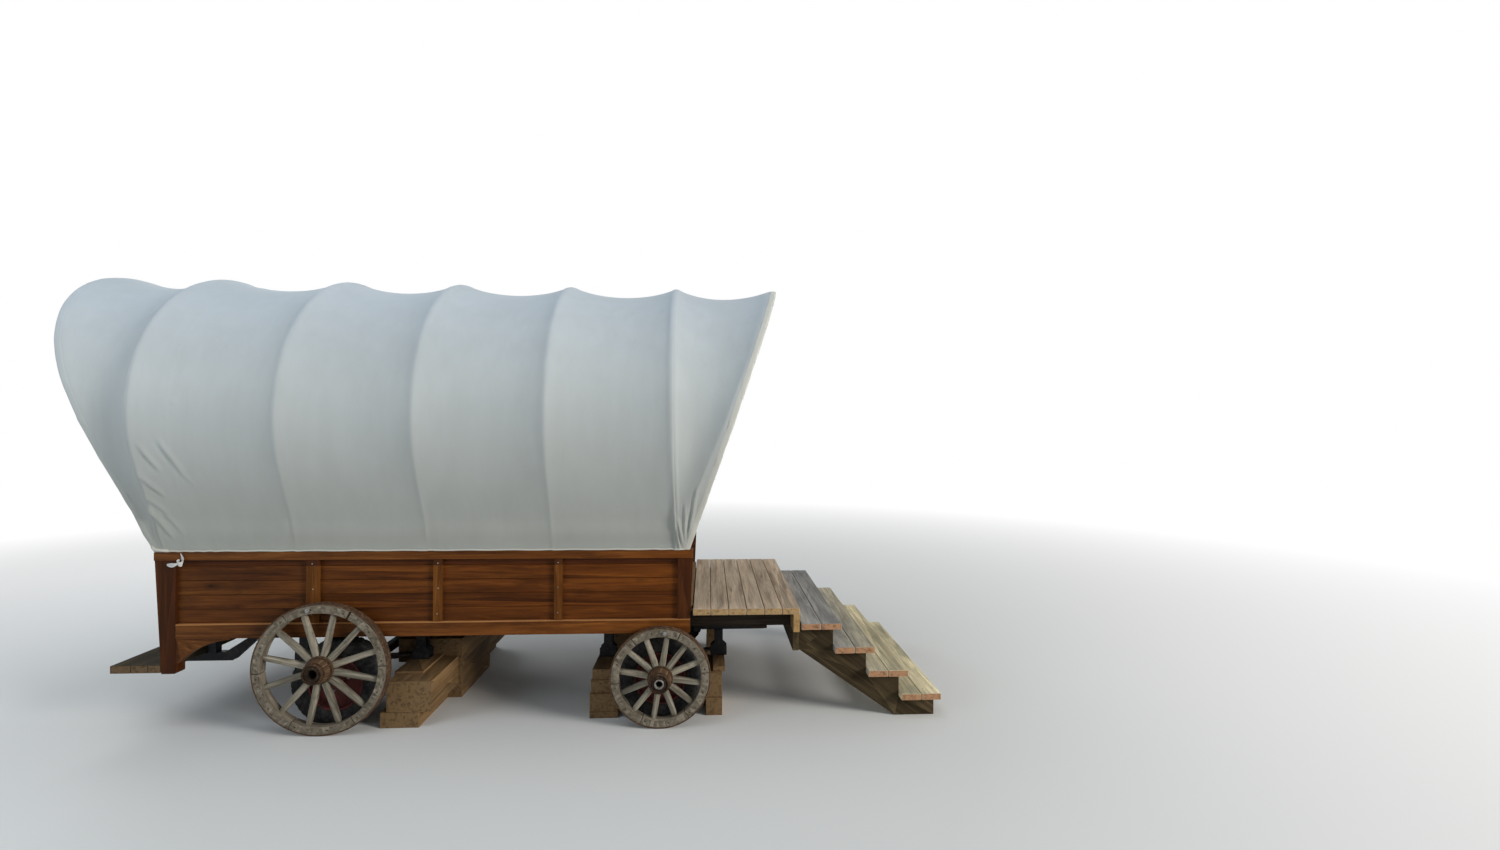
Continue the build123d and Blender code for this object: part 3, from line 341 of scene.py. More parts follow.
PAINTED_SHADE_DARK = (0.012, 0.009, 0.007), (0.024, 0.018, 0.013), (0.045, 0.034, 0.025)
CART = (0.07, 0.056, 0.04), (0.15, 0.126, 0.094), (0.26, 0.225, 0.175)
SPOKE = (0.095, 0.082, 0.058), (0.215, 0.19, 0.145), (0.38, 0.35, 0.28)
NAVE = (0.018, 0.011, 0.008), (0.044, 0.029, 0.021), (0.095, 0.068, 0.05)
ASH = (0.26, 0.18, 0.1), (0.42, 0.32, 0.2), (0.55, 0.44, 0.3)
BLOTCH = (0.026, 0.0085, 0.003)
SATIN = {"rough": 0.5, "gloss": 0.08}
# Stained boards: real dark blotches of stain, and a tint warmer towards the front and bluer towards the rear, which is
# painted light from the front
STAINED_AND_PAINTED_LIGHT = {"dirt": BLOTCH, "along_x": (REAR_X, FRONT_X, (0.93, 0.98, 1.1), (1.12, 1.0, 0.75)), **SATIN}
STEPS_PALER = (FRONT_X + 1.02, FRONT_X + 1.5, (1.0, 0.98, 1.0), (2.0, 1.75, 1.22))
STRINGER_SLOPE = radians(-36)

side_wood = dress(wood("side_wood", STAIN, knots=0.6, tone=0.16, **STAINED_AND_PAINTED_LIGHT), "right_side_boards", "left_side_boards")
dress(wood("frieze_wood", FRIEZE, **SATIN), "frieze_rails")
# The lower rails' top edge is paler: a painted highlight on the lit chamfer, with a little wear
dress(wood("rail_wood", WARM, tone=0.15, lip=(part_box("lower_rails")[1].z - 0.005, (0.42, 0.19, 0.07)), **STAINED_AND_PAINTED_LIGHT),
      "lower_rails", "knee_brackets")
dress(wood("cap_wood", WARM, tone=0.1, **STAINED_AND_PAINTED_LIGHT), "cap_rails")
dress(wood("post_wood", POST, "Z", tone=0.15, **SATIN), "corner_posts")
dress(wood("batten_wood", BATTEN, "Z", tone=0.2, lip=(SIDE_TOP - 0.098, (0.04, 0.012, 0.004)), **SATIN),
      "side_battens")
dress(wood("end_wood", STAIN, "Y", thin="X", knots=0.5, tone=0.22, dirt=BLOTCH, **SATIN), "rear_end_boards")
dress(wood("deck_wood", GREYED, "Y", tone=0.15, rough=0.75, fade=0.22, ends=(0.46, 0.3, 0.14), gloss=0.15),
      "deck_planks")
dress(wood("platform_wood", PLATFORM, "Y", tone=0.25, rough=0.8, ends=(0.16, 0.105, 0.06), gloss=0.04),
      "rear_platform_planks")
dress(wood("tread_wood", TREAD, "Y", tone=0.22, rough=0.75, fade=0.2, knots=0.4, ends=(0.48, 0.26, 0.14),
           dirt=(0.1, 0.115, 0.12), gloss=0.15, along_x=STEPS_PALER), "stair_treads")
dress(wood("fascia_wood", FASCIA, "Y", rough=0.7, ends=(0.45, 0.27, 0.1)), "deck_fascia")
dress(wood("floor_wood", ROUGH, "Y", tone=0.2, rough=0.75, gloss=0.15), "floor_boards")
# The joists and bolsters are almost black: painted shade under the deck
dress(wood("joist_wood", PAINTED_SHADE_DARK, tone=0.2, rough=0.8, gloss=0.05), "floor_joists", "bolsters")
# The ledger and stringers are darker than bare pine: painted shade
dress(wood("string_wood", PINE_IN_PAINTED_SHADE, turn=(0, STRINGER_SLOPE, 0), rough=0.8, gloss=0.05), "stair_ledger",
      "stair_stringers")
dress(wood("crib_wood", ROUGH, "Y", tone=0.3, rough=0.8, dirt=(0.05, 0.034, 0.02), ends=(0.21, 0.13, 0.062),
           gloss=0.15), "rear_cribbing", "middle_cribbing", "front_cribbing")
dress(wood("hoop_wood", ASH), "hoops")
HUBS, spoke_wood, nave_wood = {}, {}, {}
for end in ENDS:
    low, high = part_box(f"{end}_cart_irons")
    hub = HUBS[end] = ((low.x + high.x) / 2, (low.z + high.z) / 2), (high.z - low.z) / 2
    dress(wheel_wood(f"{end}_felloe_wood", *hub, CART, "rim"), f"{end}_cart_felloes")
    spoke_wood[end] = wheel_wood(f"{end}_spoke_wood", *hub, SPOKE, "spoke")
    nave_wood[end] = wheel_wood(f"{end}_nave_wood", *hub, NAVE, "nave")
dress(metal("black_steel", (0.008, 0.008, 0.01), (0.03, 0.026, 0.022), rough=0.4), "chassis_rails",
      "chassis_cross_members", "tow_plate", "spring_hangers", "rear_platform_frame")
dress(metal("spring_steel", (0.014, 0.012, 0.011), (0.055, 0.038, 0.026), rough=0.5), "rear_axle", "front_axle",
      "leaf_springs")
dress(metal("rust_iron", (0.07, 0.042, 0.026), (0.16, 0.09, 0.048), metallic=0.3, rough=0.55, scale=45),
      "rear_cart_irons", "front_cart_irons")
dress(metal("red_paint", (0.135, 0.032, 0.028), (0.06, 0.032, 0.026), rough=0.6, scale=26),
      *(f"{end}_{side}_rim" for end in ENDS for side in SIDES))
zinc = dress(metal("zinc", (0.3, 0.29, 0.28), (0.15, 0.14, 0.13), metallic=0.7, rough=0.35, scale=80),
             "cart_wheel_bolts")
band_iron = metal("band_iron", (0.036, 0.02, 0.013), (0.11, 0.055, 0.03), metallic=0.3, rough=0.6, scale=70)
bush_steel = metal("bush_steel", (0.2, 0.185, 0.17), (0.12, 0.1, 0.08), metallic=0.5, rough=0.4, scale=60)
dark_peg = metal("dark_peg", (0.05, 0.038, 0.028), (0.09, 0.07, 0.05), rough=0.7)
rubber = rubber_material()
# The cover is a cool grey, not the canvas's own off-white: painted shade and sky light, darker at the foot where it is
# partly dirt
canvas = canvas_material("canvas", (0.53, 0.585, 0.635), (0.555, 0.595, 0.605), (0.385, 0.395, 0.365))
hem_canvas = canvas_material("hem_canvas", (0.64, 0.64, 0.59), (0.66, 0.655, 0.6), (0.6, 0.59, 0.53))
rope = canvas_material("rope", (0.62, 0.61, 0.57), (0.62, 0.61, 0.57), (0.58, 0.57, 0.53))
rag_cotton = canvas_material("rag_cotton", (0.72, 0.72, 0.7), (0.72, 0.72, 0.7), (0.68, 0.68, 0.66))


# ---- Mesh helpers ----
def piece(name, vertices, faces, material, slot, body="wagon", smooth=True):
    """A new piece from vertices and faces that rides on a body."""
    mesh = bpy.data.meshes.new(name)
    mesh.from_pydata([tuple(v) for v in vertices], [], faces)
    mesh.materials.append(material)
    mesh.polygons.foreach_set("use_smooth", [smooth] * len(mesh.polygons))
    made = new_object(name, mesh)
    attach(made, body)
    return made


def turns(count, first=0.0):
    """The angles of a full turn in equal steps."""
    return [first + 2 * pi * step / count for step in range(count)]


def unit(vectors):
    return vectors / (norm(vectors, axis=-1, keepdims=True) + 1e-12)


def steps_along(points):
    """The distances from point to point."""
    return norm(np.diff(points, axis=0), axis=-1)


def outwards(first, second, points, height):
    """Unit vectors square to two others, away from a line along the wagon's middle at a height above the rail."""
    vectors = unit(np.cross(first, second))
    away = points - np.array([0, 0, SIDE_TOP + height])
    return vectors * np.sign((vectors * away)[..., 1:].sum(-1, keepdims=True))


def grid_faces(rows, columns, wrap=False):
    """Quads of a grid of rows by columns, row after row. wrap joins the last column to the first."""
    faces = []
    for here in range(0, (rows - 1) * columns, columns):
        for column in range(columns if wrap else columns - 1):
            after = (column + 1) % columns
            faces.append((here + column, here + after, here + columns + after, here + columns + column))
    return faces


def tube(path, radius, sides, closed=False):
    """Vertices and faces of a round bar that follows the points of a path."""
    path = np.array(path, float)
    tangents = np.roll(path, -1, 0) - np.roll(path, 1, 0)
    if not closed:
        tangents[0], tangents[-1] = path[1] - path[0], path[-1] - path[-2]
    tangents = unit(tangents)
    side = np.cross(tangents[0], (0, 0, 1) if abs(tangents[0][2]) < 0.9 else (1, 0, 0))
    vertices = []
    for point, tangent in zip(path, tangents):
        side = unit(side - tangent * (side @ tangent))
        up = np.cross(tangent, side)
        vertices += [point + radius * (cos(angle) * side + sin(angle) * up) for angle in turns(sides)]
    faces = grid_faces(len(path), sides, wrap=True)
    last = len(vertices) - sides
    if closed:
        faces += [(last + step, last + (step + 1) % sides, (step + 1) % sides, step) for step in range(sides)]
    else:
        faces += [tuple(reversed(range(sides))), tuple(range(last, len(vertices)))]
    return vertices, faces


def several(parts):
    """One list of vertices and one of faces from several of both."""
    vertices, faces = [], []
    for more_vertices, more_faces in parts:
        start = len(vertices)
        vertices += list(more_vertices)
        faces += [tuple(start + index for index in face) for face in more_faces]
    return vertices, faces


# ---- Canvas cover ----
RISE = 2.015
FOOT_HALF = HALF_WIDTH - 0.005
BODY = FRONT_X - REAR_X
MARGIN = 0.036
SAG_SIDE, SAG_TOP = 0.046, 0.075
# A leg's run over its height, and how far it bulges near its foot, up to a share of its run
LEG_RUN, LEG_BELLY, BELLY_END = 1.045, 0.0105, 0.27
# Half the width over which the canvas lies on a hoop
ON_HOOP = 0.018
# Hoops: columns are the place of the foot and of the top, in front of the body's rear end, and the half width
HOOPS = (
    (0.008, -0.779, 0.985),
    (0.054, -0.012, 1.1),
    (0.933, 0.929, 1.1),
    (1.812, 1.789, 1.1),
    (BODY - 0.991, BODY - 1.005, 1.1),
    (BODY - 0.125, BODY - 0.165, 1.1),
    (BODY - 0.062, BODY + 0.613, 1.1),
)
LAST = len(HOOPS) - 1


def arch(half_width, height, foot_half, shares):
    """Points of an arch at shares from -1, the right foot, over 0, the top, to 1, the left foot."""
    spring = height - half_width
    crown = pi / 2 * half_width
    leg = spring * LEG_RUN
    points = []
    for share in shares:
        run = (1 - abs(share)) * (leg + crown)
        if run < leg:
            part = run / leg
            x = foot_half + (half_width - foot_half) * sin(pi / 2 * part) ** 1.5
            x += LEG_BELLY * sin(pi * part / BELLY_END) ** 2 if part < BELLY_END else 0
            y = spring * part
        else:
            angle = (run - leg) / half_width
            x, y = half_width * cos(angle), spring + half_width * sin(angle)
        points.append((copysign(x, share) if share else 0.0, y))
    return np.array(points)


def slant(foot, top):
    """The height of a hoop along its slant, and its lean."""
    return hypot(RISE, top - foot), atan2(top - foot, RISE)


def cover_points(places, shares):
    """A grid of points on the cover, one row for each place along the hoops: 2.5 is half way from hoop 2 to hoop 3."""
    rows = []
    for place in places:
        inside = min(max(place, 0), LAST)
        index = min(int(inside), LAST - 1)
        here, there = np.array(HOOPS[index]), np.array(HOOPS[index + 1])
        part = inside - index
        foot, top, half_width = here + (there - here) * part
        edge = ON_HOOP / max(abs(there[1] - here[1]), 0.05)
        part = min(max((part - edge) / (1 - 2 * edge), 0), 1)
        sag = (4 * part * (1 - part)) ** 0.85
        height, lean = slant(foot, top)
        points = arch(half_width - SAG_SIDE * sag, height - SAG_TOP * sag, FOOT_HALF, shares)
        along = points[:, 1]
        beyond = place - inside
        if place < 0:
            beyond = beyond * (0.3 + 0.7 * np.clip(along / 0.9, 0, 1))
        rows.append(np.stack([REAR_X + foot + beyond + along * sin(lean), points[:, 0],
                              SIDE_TOP + 0.001 + along * cos(lean)], 1))
    return np.array(rows)


# Rows of the cover in each bay: shares of the bay and the number of rows up to each
BAYS = (((1.0, 22),), ((0.42, 32), (1.0, 16)), ((1.0, 20),), ((1.0, 20),), ((0.8, 16), (1.0, 10)), ((1.0, 28),))
BESIDE_HOOP = (-0.024, -0.011, 0.011, 0.024)


def spread():
    """Places for rows of the cover, with more of them where folds are and beside each hoop."""
    places = [-MARGIN, -MARGIN / 2]
    for index, bay in enumerate(BAYS):
        start = 0.0
        for until, count in bay:
            places += [index + start + (until - start) * step / count for step in range(count)]
            start = until
    for index in range(1, LAST):
        for away in BESIDE_HOOP:
            neighbour = index + (1 if away > 0 else -1)
            places.append(index + away / max(abs(HOOPS[neighbour][1] - HOOPS[index][1]), 0.5))
    places = sorted(places + [LAST, LAST + MARGIN / 2, LAST + MARGIN])
    return [place for number, place in enumerate(places) if number == 0 or place - places[number - 1] > 0.004]


# Columns are finer from FINE to the foot on each side, where the folds are
FINE, FINE_COLUMNS, PLAIN_COLUMNS = 0.55, 70, 60
shares = np.concatenate([np.linspace(-1, -FINE, FINE_COLUMNS, endpoint=False),
                         np.linspace(-FINE, FINE, PLAIN_COLUMNS, endpoint=False),
                         np.linspace(FINE, 1, FINE_COLUMNS + 1)])
COLUMNS = len(shares)
places = spread()
place_of = np.array(places)[:, None]
flat_cover = cover = cover_points(places, shares)
normals = outwards(np.gradient(cover, axis=0), np.gradient(cover, axis=1), cover, 0.6)


def push(amount):
    """Moves the cover's points out along their normals."""
    global cover
    cover = cover + normals * amount[:, :, None]


def fold_field(line_from, line_to, width, depth, side):
    """A straight soft fold on one side of the cover between two points (station, height above the rail)."""
    u = cover[:, :, 0] - REAR_X
    h = cover[:, :, 2] - SIDE_TOP
    a, b = np.array(line_from), np.array(line_to)
    run = b - a
    length = norm(run)
    t = ((u - a[0]) * run[0] + (h - a[1]) * run[1]) / length ** 2
    away = ((u - a[0]) * run[1] - (h - a[1]) * run[0]) / length
    ends = np.clip(1 - np.abs(2 * t - 1) ** 3, 0, 1)
    field = depth * ends * (np.exp(-(away / width) ** 2) - 0.6 * np.exp(-((away - 1.3 * width) / width) ** 2))
    return np.where(cover[:, :, 1] * side > 0, field, 0)


# Folds: columns are the start and the end as station and height above the rail, the width and the depth in metres
FOLDS = (
    # Wrinkles beside the first seam, pulled towards the rear corner of the body
    ((0.06, 0.76), (0.175, 0.56), 0.013, 0.013), ((0.18, 0.78), (0.31, 0.55), 0.014, 0.012),
    ((0.02, 0.56), (0.16, 0.39), 0.012, 0.013), ((0.02, 0.41), (0.15, 0.27), 0.011, 0.012),
    ((-0.04, 0.42), (0.15, 0.09), 0.013, 0.015), ((-0.05, 0.5), (0.06, 0.24), 0.012, 0.01),
    ((0.1, 0.3), (0.22, 0.12), 0.011, 0.007), ((0.23, 0.64), (0.36, 0.46), 0.013, 0.005),
    # Puckers above them, where the bow presses on the canvas
    ((0.235, 1.045), (0.3, 1.0), 0.007, 0.006), ((0.285, 1.065), (0.25, 0.995), 0.006, 0.005),
    ((0.27, 1.23), (0.31, 1.21), 0.006, 0.004), ((0.22, 0.93), (0.26, 0.9), 0.006, 0.004),
    # A short fold beside the third hoop's foot
    ((0.866, 0.25), (0.882, 0.0), 0.009, 0.01), ((0.835, 0.13), (0.845, 0.0), 0.008, 0.005),
    ((0.99, 0.1), (1.02, 0.0), 0.01, 0.005),
    # Gathers at the front lower corner, and the long fold from there up to the rim
    ((BODY - 0.15, 0.33), (BODY - 0.092, 0.0), 0.011, 0.013),
    ((BODY - 0.122, 0.27), (BODY - 0.062, 0.0), 0.01, 0.012),
    ((BODY - 0.06, 0.36), (BODY - 0.055, 0.02), 0.011, 0.009),
    ((BODY + 0.03, 0.47), (BODY - 0.04, 0.05), 0.012, 0.012),
)
PUCKERS = 34
for side in (-1, 1):
    for fold in FOLDS:
        push(fold_field(*fold, side))
    # Small puckers along the rail
    for number in range(PUCKERS):
        u = 0.1 + number * (BODY - 0.25) / (PUCKERS - 1) + DICE.uniform(-0.02, 0.02)
        tall = DICE.uniform(0.05, 0.12)
        push(fold_field((u, tall), (u + DICE.uniform(-0.01, 0.01), -0.03), 0.01, DICE.uniform(0.001, 0.003), side))
# Near a hoop the folds don't go in, so that the wood stays under the canvas
moved = ((cover - flat_cover) * normals).sum(2)
limit = np.where(np.abs(place_of - np.round(place_of)) < 0.06, -0.0005, -0.02)
cover = flat_cover + normals * np.maximum(moved, limit)[:, :, None]
# Across the width of each hoop the canvas lies on the wood
for index in range(1, LAST):
    bow = cover_points([index], shares)[0]
    outward = outwards(np.gradient(bow, axis=0), (1, 0, 0), bow, 0.9)
    offset = cover - bow
    lift = np.maximum(-0.0008 - (offset * outward).sum(2), 0)
    lift *= np.clip((0.03 - np.abs(offset[:, :, 0])) / 0.011, 0, 1)
    cover = cover + outward * lift[:, :, None]

# Along the lower front rim the canvas is laced in over its edge: a crest with the hem's strip turned to the front
rim_away = norm(cover - cover[places.index(LAST)], axis=2)
in_front_bay = (place_of >= LAST - 1) & (place_of <= LAST)
bay_depth = rim_away[in_front_bay.argmax()]
above = cover[:, :, 2] - SIDE_TOP
crest = np.minimum(np.clip(0.088 - 0.062 * above, 0.012, 0.088), 0.5 * bay_depth)
strength = 0.022 * np.clip((1.35 - above) / 0.9, 0, 1) * np.clip(bay_depth / 0.12, 0, 1)
profile = np.where(rim_away < crest, rim_away / crest, np.exp(-((rim_away - crest) / 0.11) ** 2))
push(strength * profile * in_front_bay)

# Sewn seams over the hoops: a low ridge
for index in range(1, LAST):
    gap = abs(HOOPS[index + 1][1] - HOOPS[index - 1][1]) / 2
    away = (place_of - index) * gap
    push(0.0038 * np.exp(-(away / 0.012) ** 2) * np.clip(above / 0.15, 0.15, 1))
# The line of an inner bow that shows behind the first seam, and a double row of stitches in the front panel
BOW_LINE = np.clip(1.25 - np.abs(shares) * 1.1, 0, 1)[None, :]
push(0.0022 * np.exp(-((place_of - 1.235) * 0.9 / 0.008) ** 2) * BOW_LINE)
for shift in (-0.017, 0.017):
    push(-0.0016 * np.exp(-(((place_of - 4.6) * 0.87 - shift) / 0.0045) ** 2) * BOW_LINE)
cover[:, 0, 2] = cover[:, -1, 2] = SIDE_TOP + 0.0015

sheet_mesh = piece("canvas_sheet", cover.reshape(-1, 3), grid_faces(len(places), COLUMNS), canvas, "canvas")
setting(sheet_mesh.modifiers.new("cloth", "SOLIDIFY"), thickness=0.0022, offset=-1)
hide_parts("canvas_cover")
edges = steps_along(cover.swapaxes(0, 1)).sum(0)
ridge = steps_along(cover[:, COLUMNS // 2]).sum()
cells = np.cross(np.diff(cover, axis=0)[:, :-1], np.diff(cover, axis=1)[:-1])
COVER_AREA = float(norm(cells, axis=2).sum())


# Rolled hem along the rail, following the cover's foot, with a thicker curl at the rear corner of each side
HEM_RADIUS, CURL_RADIUS = 0.0062, 0.0105
# The curl's middle line: columns are the station, the distance out from the cover's foot and the height
CURL = ((-0.012, 0.004, 0.04), (0.0, 0.009, 0.024), (0.02, 0.01, 0.017), (0.05, 0.008, 0.013), (0.095, 0.003, 0.009))


def hem_path(side):
    row = cover[2:-2, 0 if side < 0 else -1].copy()
    row[:, 1] += side * 0.003
    row[:, 2] = SIDE_TOP + 0.0068 + 0.0014 * np.sin(np.arange(len(row)) * 0.9)
    return row


parts = [tube(hem_path(side), HEM_RADIUS, 8) for side in (-1, 1)]
parts += [tube([(REAR_X + u, side * (FOOT_HALF + out), SIDE_TOP + z) for u, out, z in CURL], CURL_RADIUS, 10)
          for side in (-1, 1)]
hem = piece("canvas_rail_hem", *several(parts), hem_canvas, "canvas")

# A rim's hem: columns are the distance out from the canvas's edge and the height over its outside
HEM_FORM = ((-0.04, 0.0004), (-0.039, 0.0034), (-0.03, 0.0028), (-0.018, 0.0036), (-0.004, 0.0034),
            (0.003, 0.0012), (0.0042, -0.006), (0.003, -0.018), (0.0042, -0.03), (0.0, -0.042),
            (-0.012, -0.046), (-0.045, -0.046))


def rim_band(row_index, inner_index, name, material):
    """A doubled hem: from a step on the canvas's outside out over its edge, and down inside the rim's hoop."""
    base = cover[row_index]
    forward = unit(base - cover[inner_index])
    outward = outwards(forward, np.gradient(base, axis=0), base, 0.9)
    steps = steps_along(base)
    count = np.concatenate([[0], steps.cumsum()]) / 0.04
    wave = (np.sin(count * 0.83) + 0.6 * np.sin(count * 2.1 + 1) + 0.5 * np.sin(count * 0.31)) * 0.0011
    lump = 0.0032 * np.exp(-((count % 7 - 3.5) / 0.8) ** 2)
    rows = []
    for out, deep in HEM_FORM:
        ripple = wave if out > -0.038 else wave * 0.3
        height = deep + np.abs(ripple) * 0.5 + (lump if -0.035 < out < 0 else lump * 0.2)
        rows.append(base + forward * (out + ripple)[:, None] + outward * height[:, None])
    strip = piece(name, np.concatenate(rows), grid_faces(len(rows), COLUMNS), material, "canvas")
    setting(strip.modifiers.new("round", "SUBSURF"), levels=1, render_levels=1)


rim_band(-1, -3, "front_rim_hem", hem_canvas)
rim_band(0, 2, "rear_rim_hem", canvas)

# Cord lacing round the front rim: short stitches over the edge, one every 30 cm
STITCH_GAP, CORD_RADIUS = 0.3, 0.0022
stitches = []
rim = cover[-1]
steps = steps_along(rim).cumsum()
for distance in np.arange(0.28, steps[-1] - 0.2, STITCH_GAP):
    index = int(np.searchsorted(steps, distance))
    point, back = rim[index], cover[-3][index]
    outward = unit(np.array([0, point[1], point[2] - SIDE_TOP - 1.0]))
    along = unit(rim[index + 1] - rim[index - 1])
    loop = []
    for step in range(9):
        angle = pi * step / 8
        middle = point + (back - point) * (0.45 - 0.75 * cos(angle)) * 0.5
        loop.append(middle + outward * (0.0065 * sin(angle) - 0.003) + along * 0.01 * (step / 8 - 0.5))
    stitches.append(tube(loop, CORD_RADIUS, 6))
piece("rim_stitches", *several(stitches), rope, "canvas")

# Rear end: canvas gathered round an oval opening by a drawcord, inside the first hoop
foot, top, half_width = HOOPS[0]
height, lean = slant(foot, top)
OVAL, OVAL_HEIGHT = (0.24, 0.34), 1.24
INSET = 0.031
# The panel's foot: at the boards, at their two corners, and the half width beside the boards
PANEL_FOOT = 0.036 / cos(lean)
CORNER_FOOT = 0.003
BESIDE_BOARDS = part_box("rear_end_boards")[1].y - 0.018
outline = arch(half_width - INSET, height - INSET, FOOT_HALF - INSET, np.linspace(-1, 1, 481))
outline = [point for point in outline if point[1] > CORNER_FOOT]
inner = BESIDE_BOARDS * (OVAL_HEIGHT - PANEL_FOOT) / (OVAL_HEIGHT - CORNER_FOOT) - 0.002
outline += [(side * BESIDE_BOARDS, CORNER_FOOT) for side in (-1, 1)]
outline += [(inner * step / 30, PANEL_FOOT) for step in range(-30, 31)]
outline = np.array(outline)
angles = np.arctan2(outline[:, 1] - OVAL_HEIGHT, outline[:, 0])
order = np.argsort(angles)
angles, reach = angles[order], norm(outline - (0, OVAL_HEIGHT), axis=1)[order]
GATHERS, AROUND, ACROSS = 44, 352, 20


def gather(angle):
    return sin(GATHERS * angle + 0.8 * sin(3 * angle))


rows = []
for row in range(ACROSS):
    share = row / (ACROSS - 1)
    ring = []
    for angle in turns(AROUND, -pi):
        far = float(np.interp(angle, angles, reach, period=2 * pi))
        near = OVAL[0] * OVAL[1] / hypot(OVAL[1] * cos(angle), OVAL[0] * sin(angle))
        pleat = gather(angle) + 0.35 * sin(GATHERS * 0.5 * angle + 1)
        depth = 0.0075 * exp(-3.2 * share) * pleat if share < 1 else 0
        out = depth + 0.006 * sin(pi * share)
        distance = near + (far - near) * share
        x, y = distance * cos(angle), OVAL_HEIGHT + distance * sin(angle)
        ring.append((REAR_X + foot + y * sin(lean) - out * cos(lean), x, SIDE_TOP + y * cos(lean) - out * sin(lean)))
    rows.append(ring)
rows = np.array(rows)
rear_sheet = piece("rear_end_sheet", rows.reshape(-1, 3), grid_faces(ACROSS, AROUND, wrap=True), canvas, "canvas")
setting(rear_sheet.modifiers.new("cloth", "SOLIDIFY"), thickness=0.002, offset=0)
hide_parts("canvas_rear_end")
around = np.roll(rows, -1, 1) - rows
area = float(norm(np.cross(around[:-1], np.diff(rows, axis=0)), axis=2).sum())
ring = rows[0].copy()
for column, angle in enumerate(turns(AROUND, -pi)):
    bulge = 0.0022 * gather(angle)
    ring[column, 1] += bulge * cos(angle)
    ring[column, 2] += bulge * sin(angle)
piece("rear_oval_hem", *tube(ring, 0.0085, 8, closed=True), canvas, "canvas")

# White rag knotted under the cap rail at the rear right corner, as a ribbon that hangs from the rail's face
# The ribbon's middle line: columns are the station, the distance out from the rail, the height and the half width
RAG = ((0.178, 0.003, 0.012, 0.006), (0.19, 0.006, -0.012, 0.012), (0.206, 0.016, -0.038, 0.022),
       (0.214, 0.028, -0.052, 0.02), (0.196, 0.036, -0.056, 0.014), (0.176, 0.03, -0.05, 0.01),
       (0.168, 0.018, -0.04, 0.01), (0.176, 0.012, -0.034, 0.012), (0.188, 0.02, -0.04, 0.012),
       (0.18, 0.034, -0.054, 0.01), (0.16, 0.034, -0.06, 0.013), (0.138, 0.026, -0.062, 0.015),
       (0.118, 0.018, -0.066, 0.012), (0.098, 0.012, -0.064, 0.007))
TWIST = 0.34
rag_rows = []
for number, (u, out, z, half) in enumerate(RAG):
    angle = TWIST * sin(0.9 * number)
    for column in range(9):
        across = half * (column - 4) / 4
        crumple = 0.003 * sin(2.6 * column + number)
        rag_rows.append((REAR_X + u + across * sin(angle), -HALF_WIDTH - 0.006 - out - abs(crumple) * 0.8,
                         SIDE_TOP - 0.02 + z + across * cos(angle) + crumple * 0.5))
rag = piece("rag_tie", rag_rows, grid_faces(len(RAG), 9), rag_cotton, "canvas")
setting(rag.modifiers.new("round", "SUBSURF"), levels=1, render_levels=2)


# ---- Cart wheels ----
def round_axle(centre, out, reach, angle):
    """The point at a distance out along the axle, at a reach from it and at an angle."""
    return centre[0] + reach * cos(angle), centre[1] + out, centre[2] + reach * sin(angle)


def lathe(profile, segments, centre, side, cap=False):
    """A turned piece: the profile has distances out from the centre and radii. cap closes its outer end."""
    vertices = [round_axle(centre, side * out, radius, angle) for out, radius in profile for angle in turns(segments)]
    faces = grid_faces(len(profile), segments, wrap=True)
    if cap:
        faces.append(tuple(range(len(vertices) - segments, len(vertices))))
    return vertices, faces


# Columns are the number of degrees of the first spoke, how far the nave stands out of the rim, the nave's greatest
# radius, its face's radius and its bore's radius
WHEELS = {"rear": (18, 0.092, 0.096, 0.068, 0.031), "front": (21, 0.11, 0.09, 0.068, 0.03)}
SPOKES = 12
SPOKE_SIDES = 14
FELLOE_DEPTH, FELLOE_WIDTH = 0.0655, 0.065
# How far the nave stands behind the rim, and the length of its outer lip
NAVE_BACK, LIP = 0.012, 0.03
NAVE_SEGMENTS, BUSH_SEGMENTS, PEG_SEGMENTS = 72, 48, 10
# Profiles of a peg's head and of an iron band
PEG = (0.0, 0.0062), (0.0012, 0.0056), (0.0016, 0.0035)
BAND = ((-0.0095, -0.004), (-0.0095, 0.0025), (-0.008, 0.0035), (0.008, 0.0035), (0.0095, 0.0025), (0.0095, -0.004))
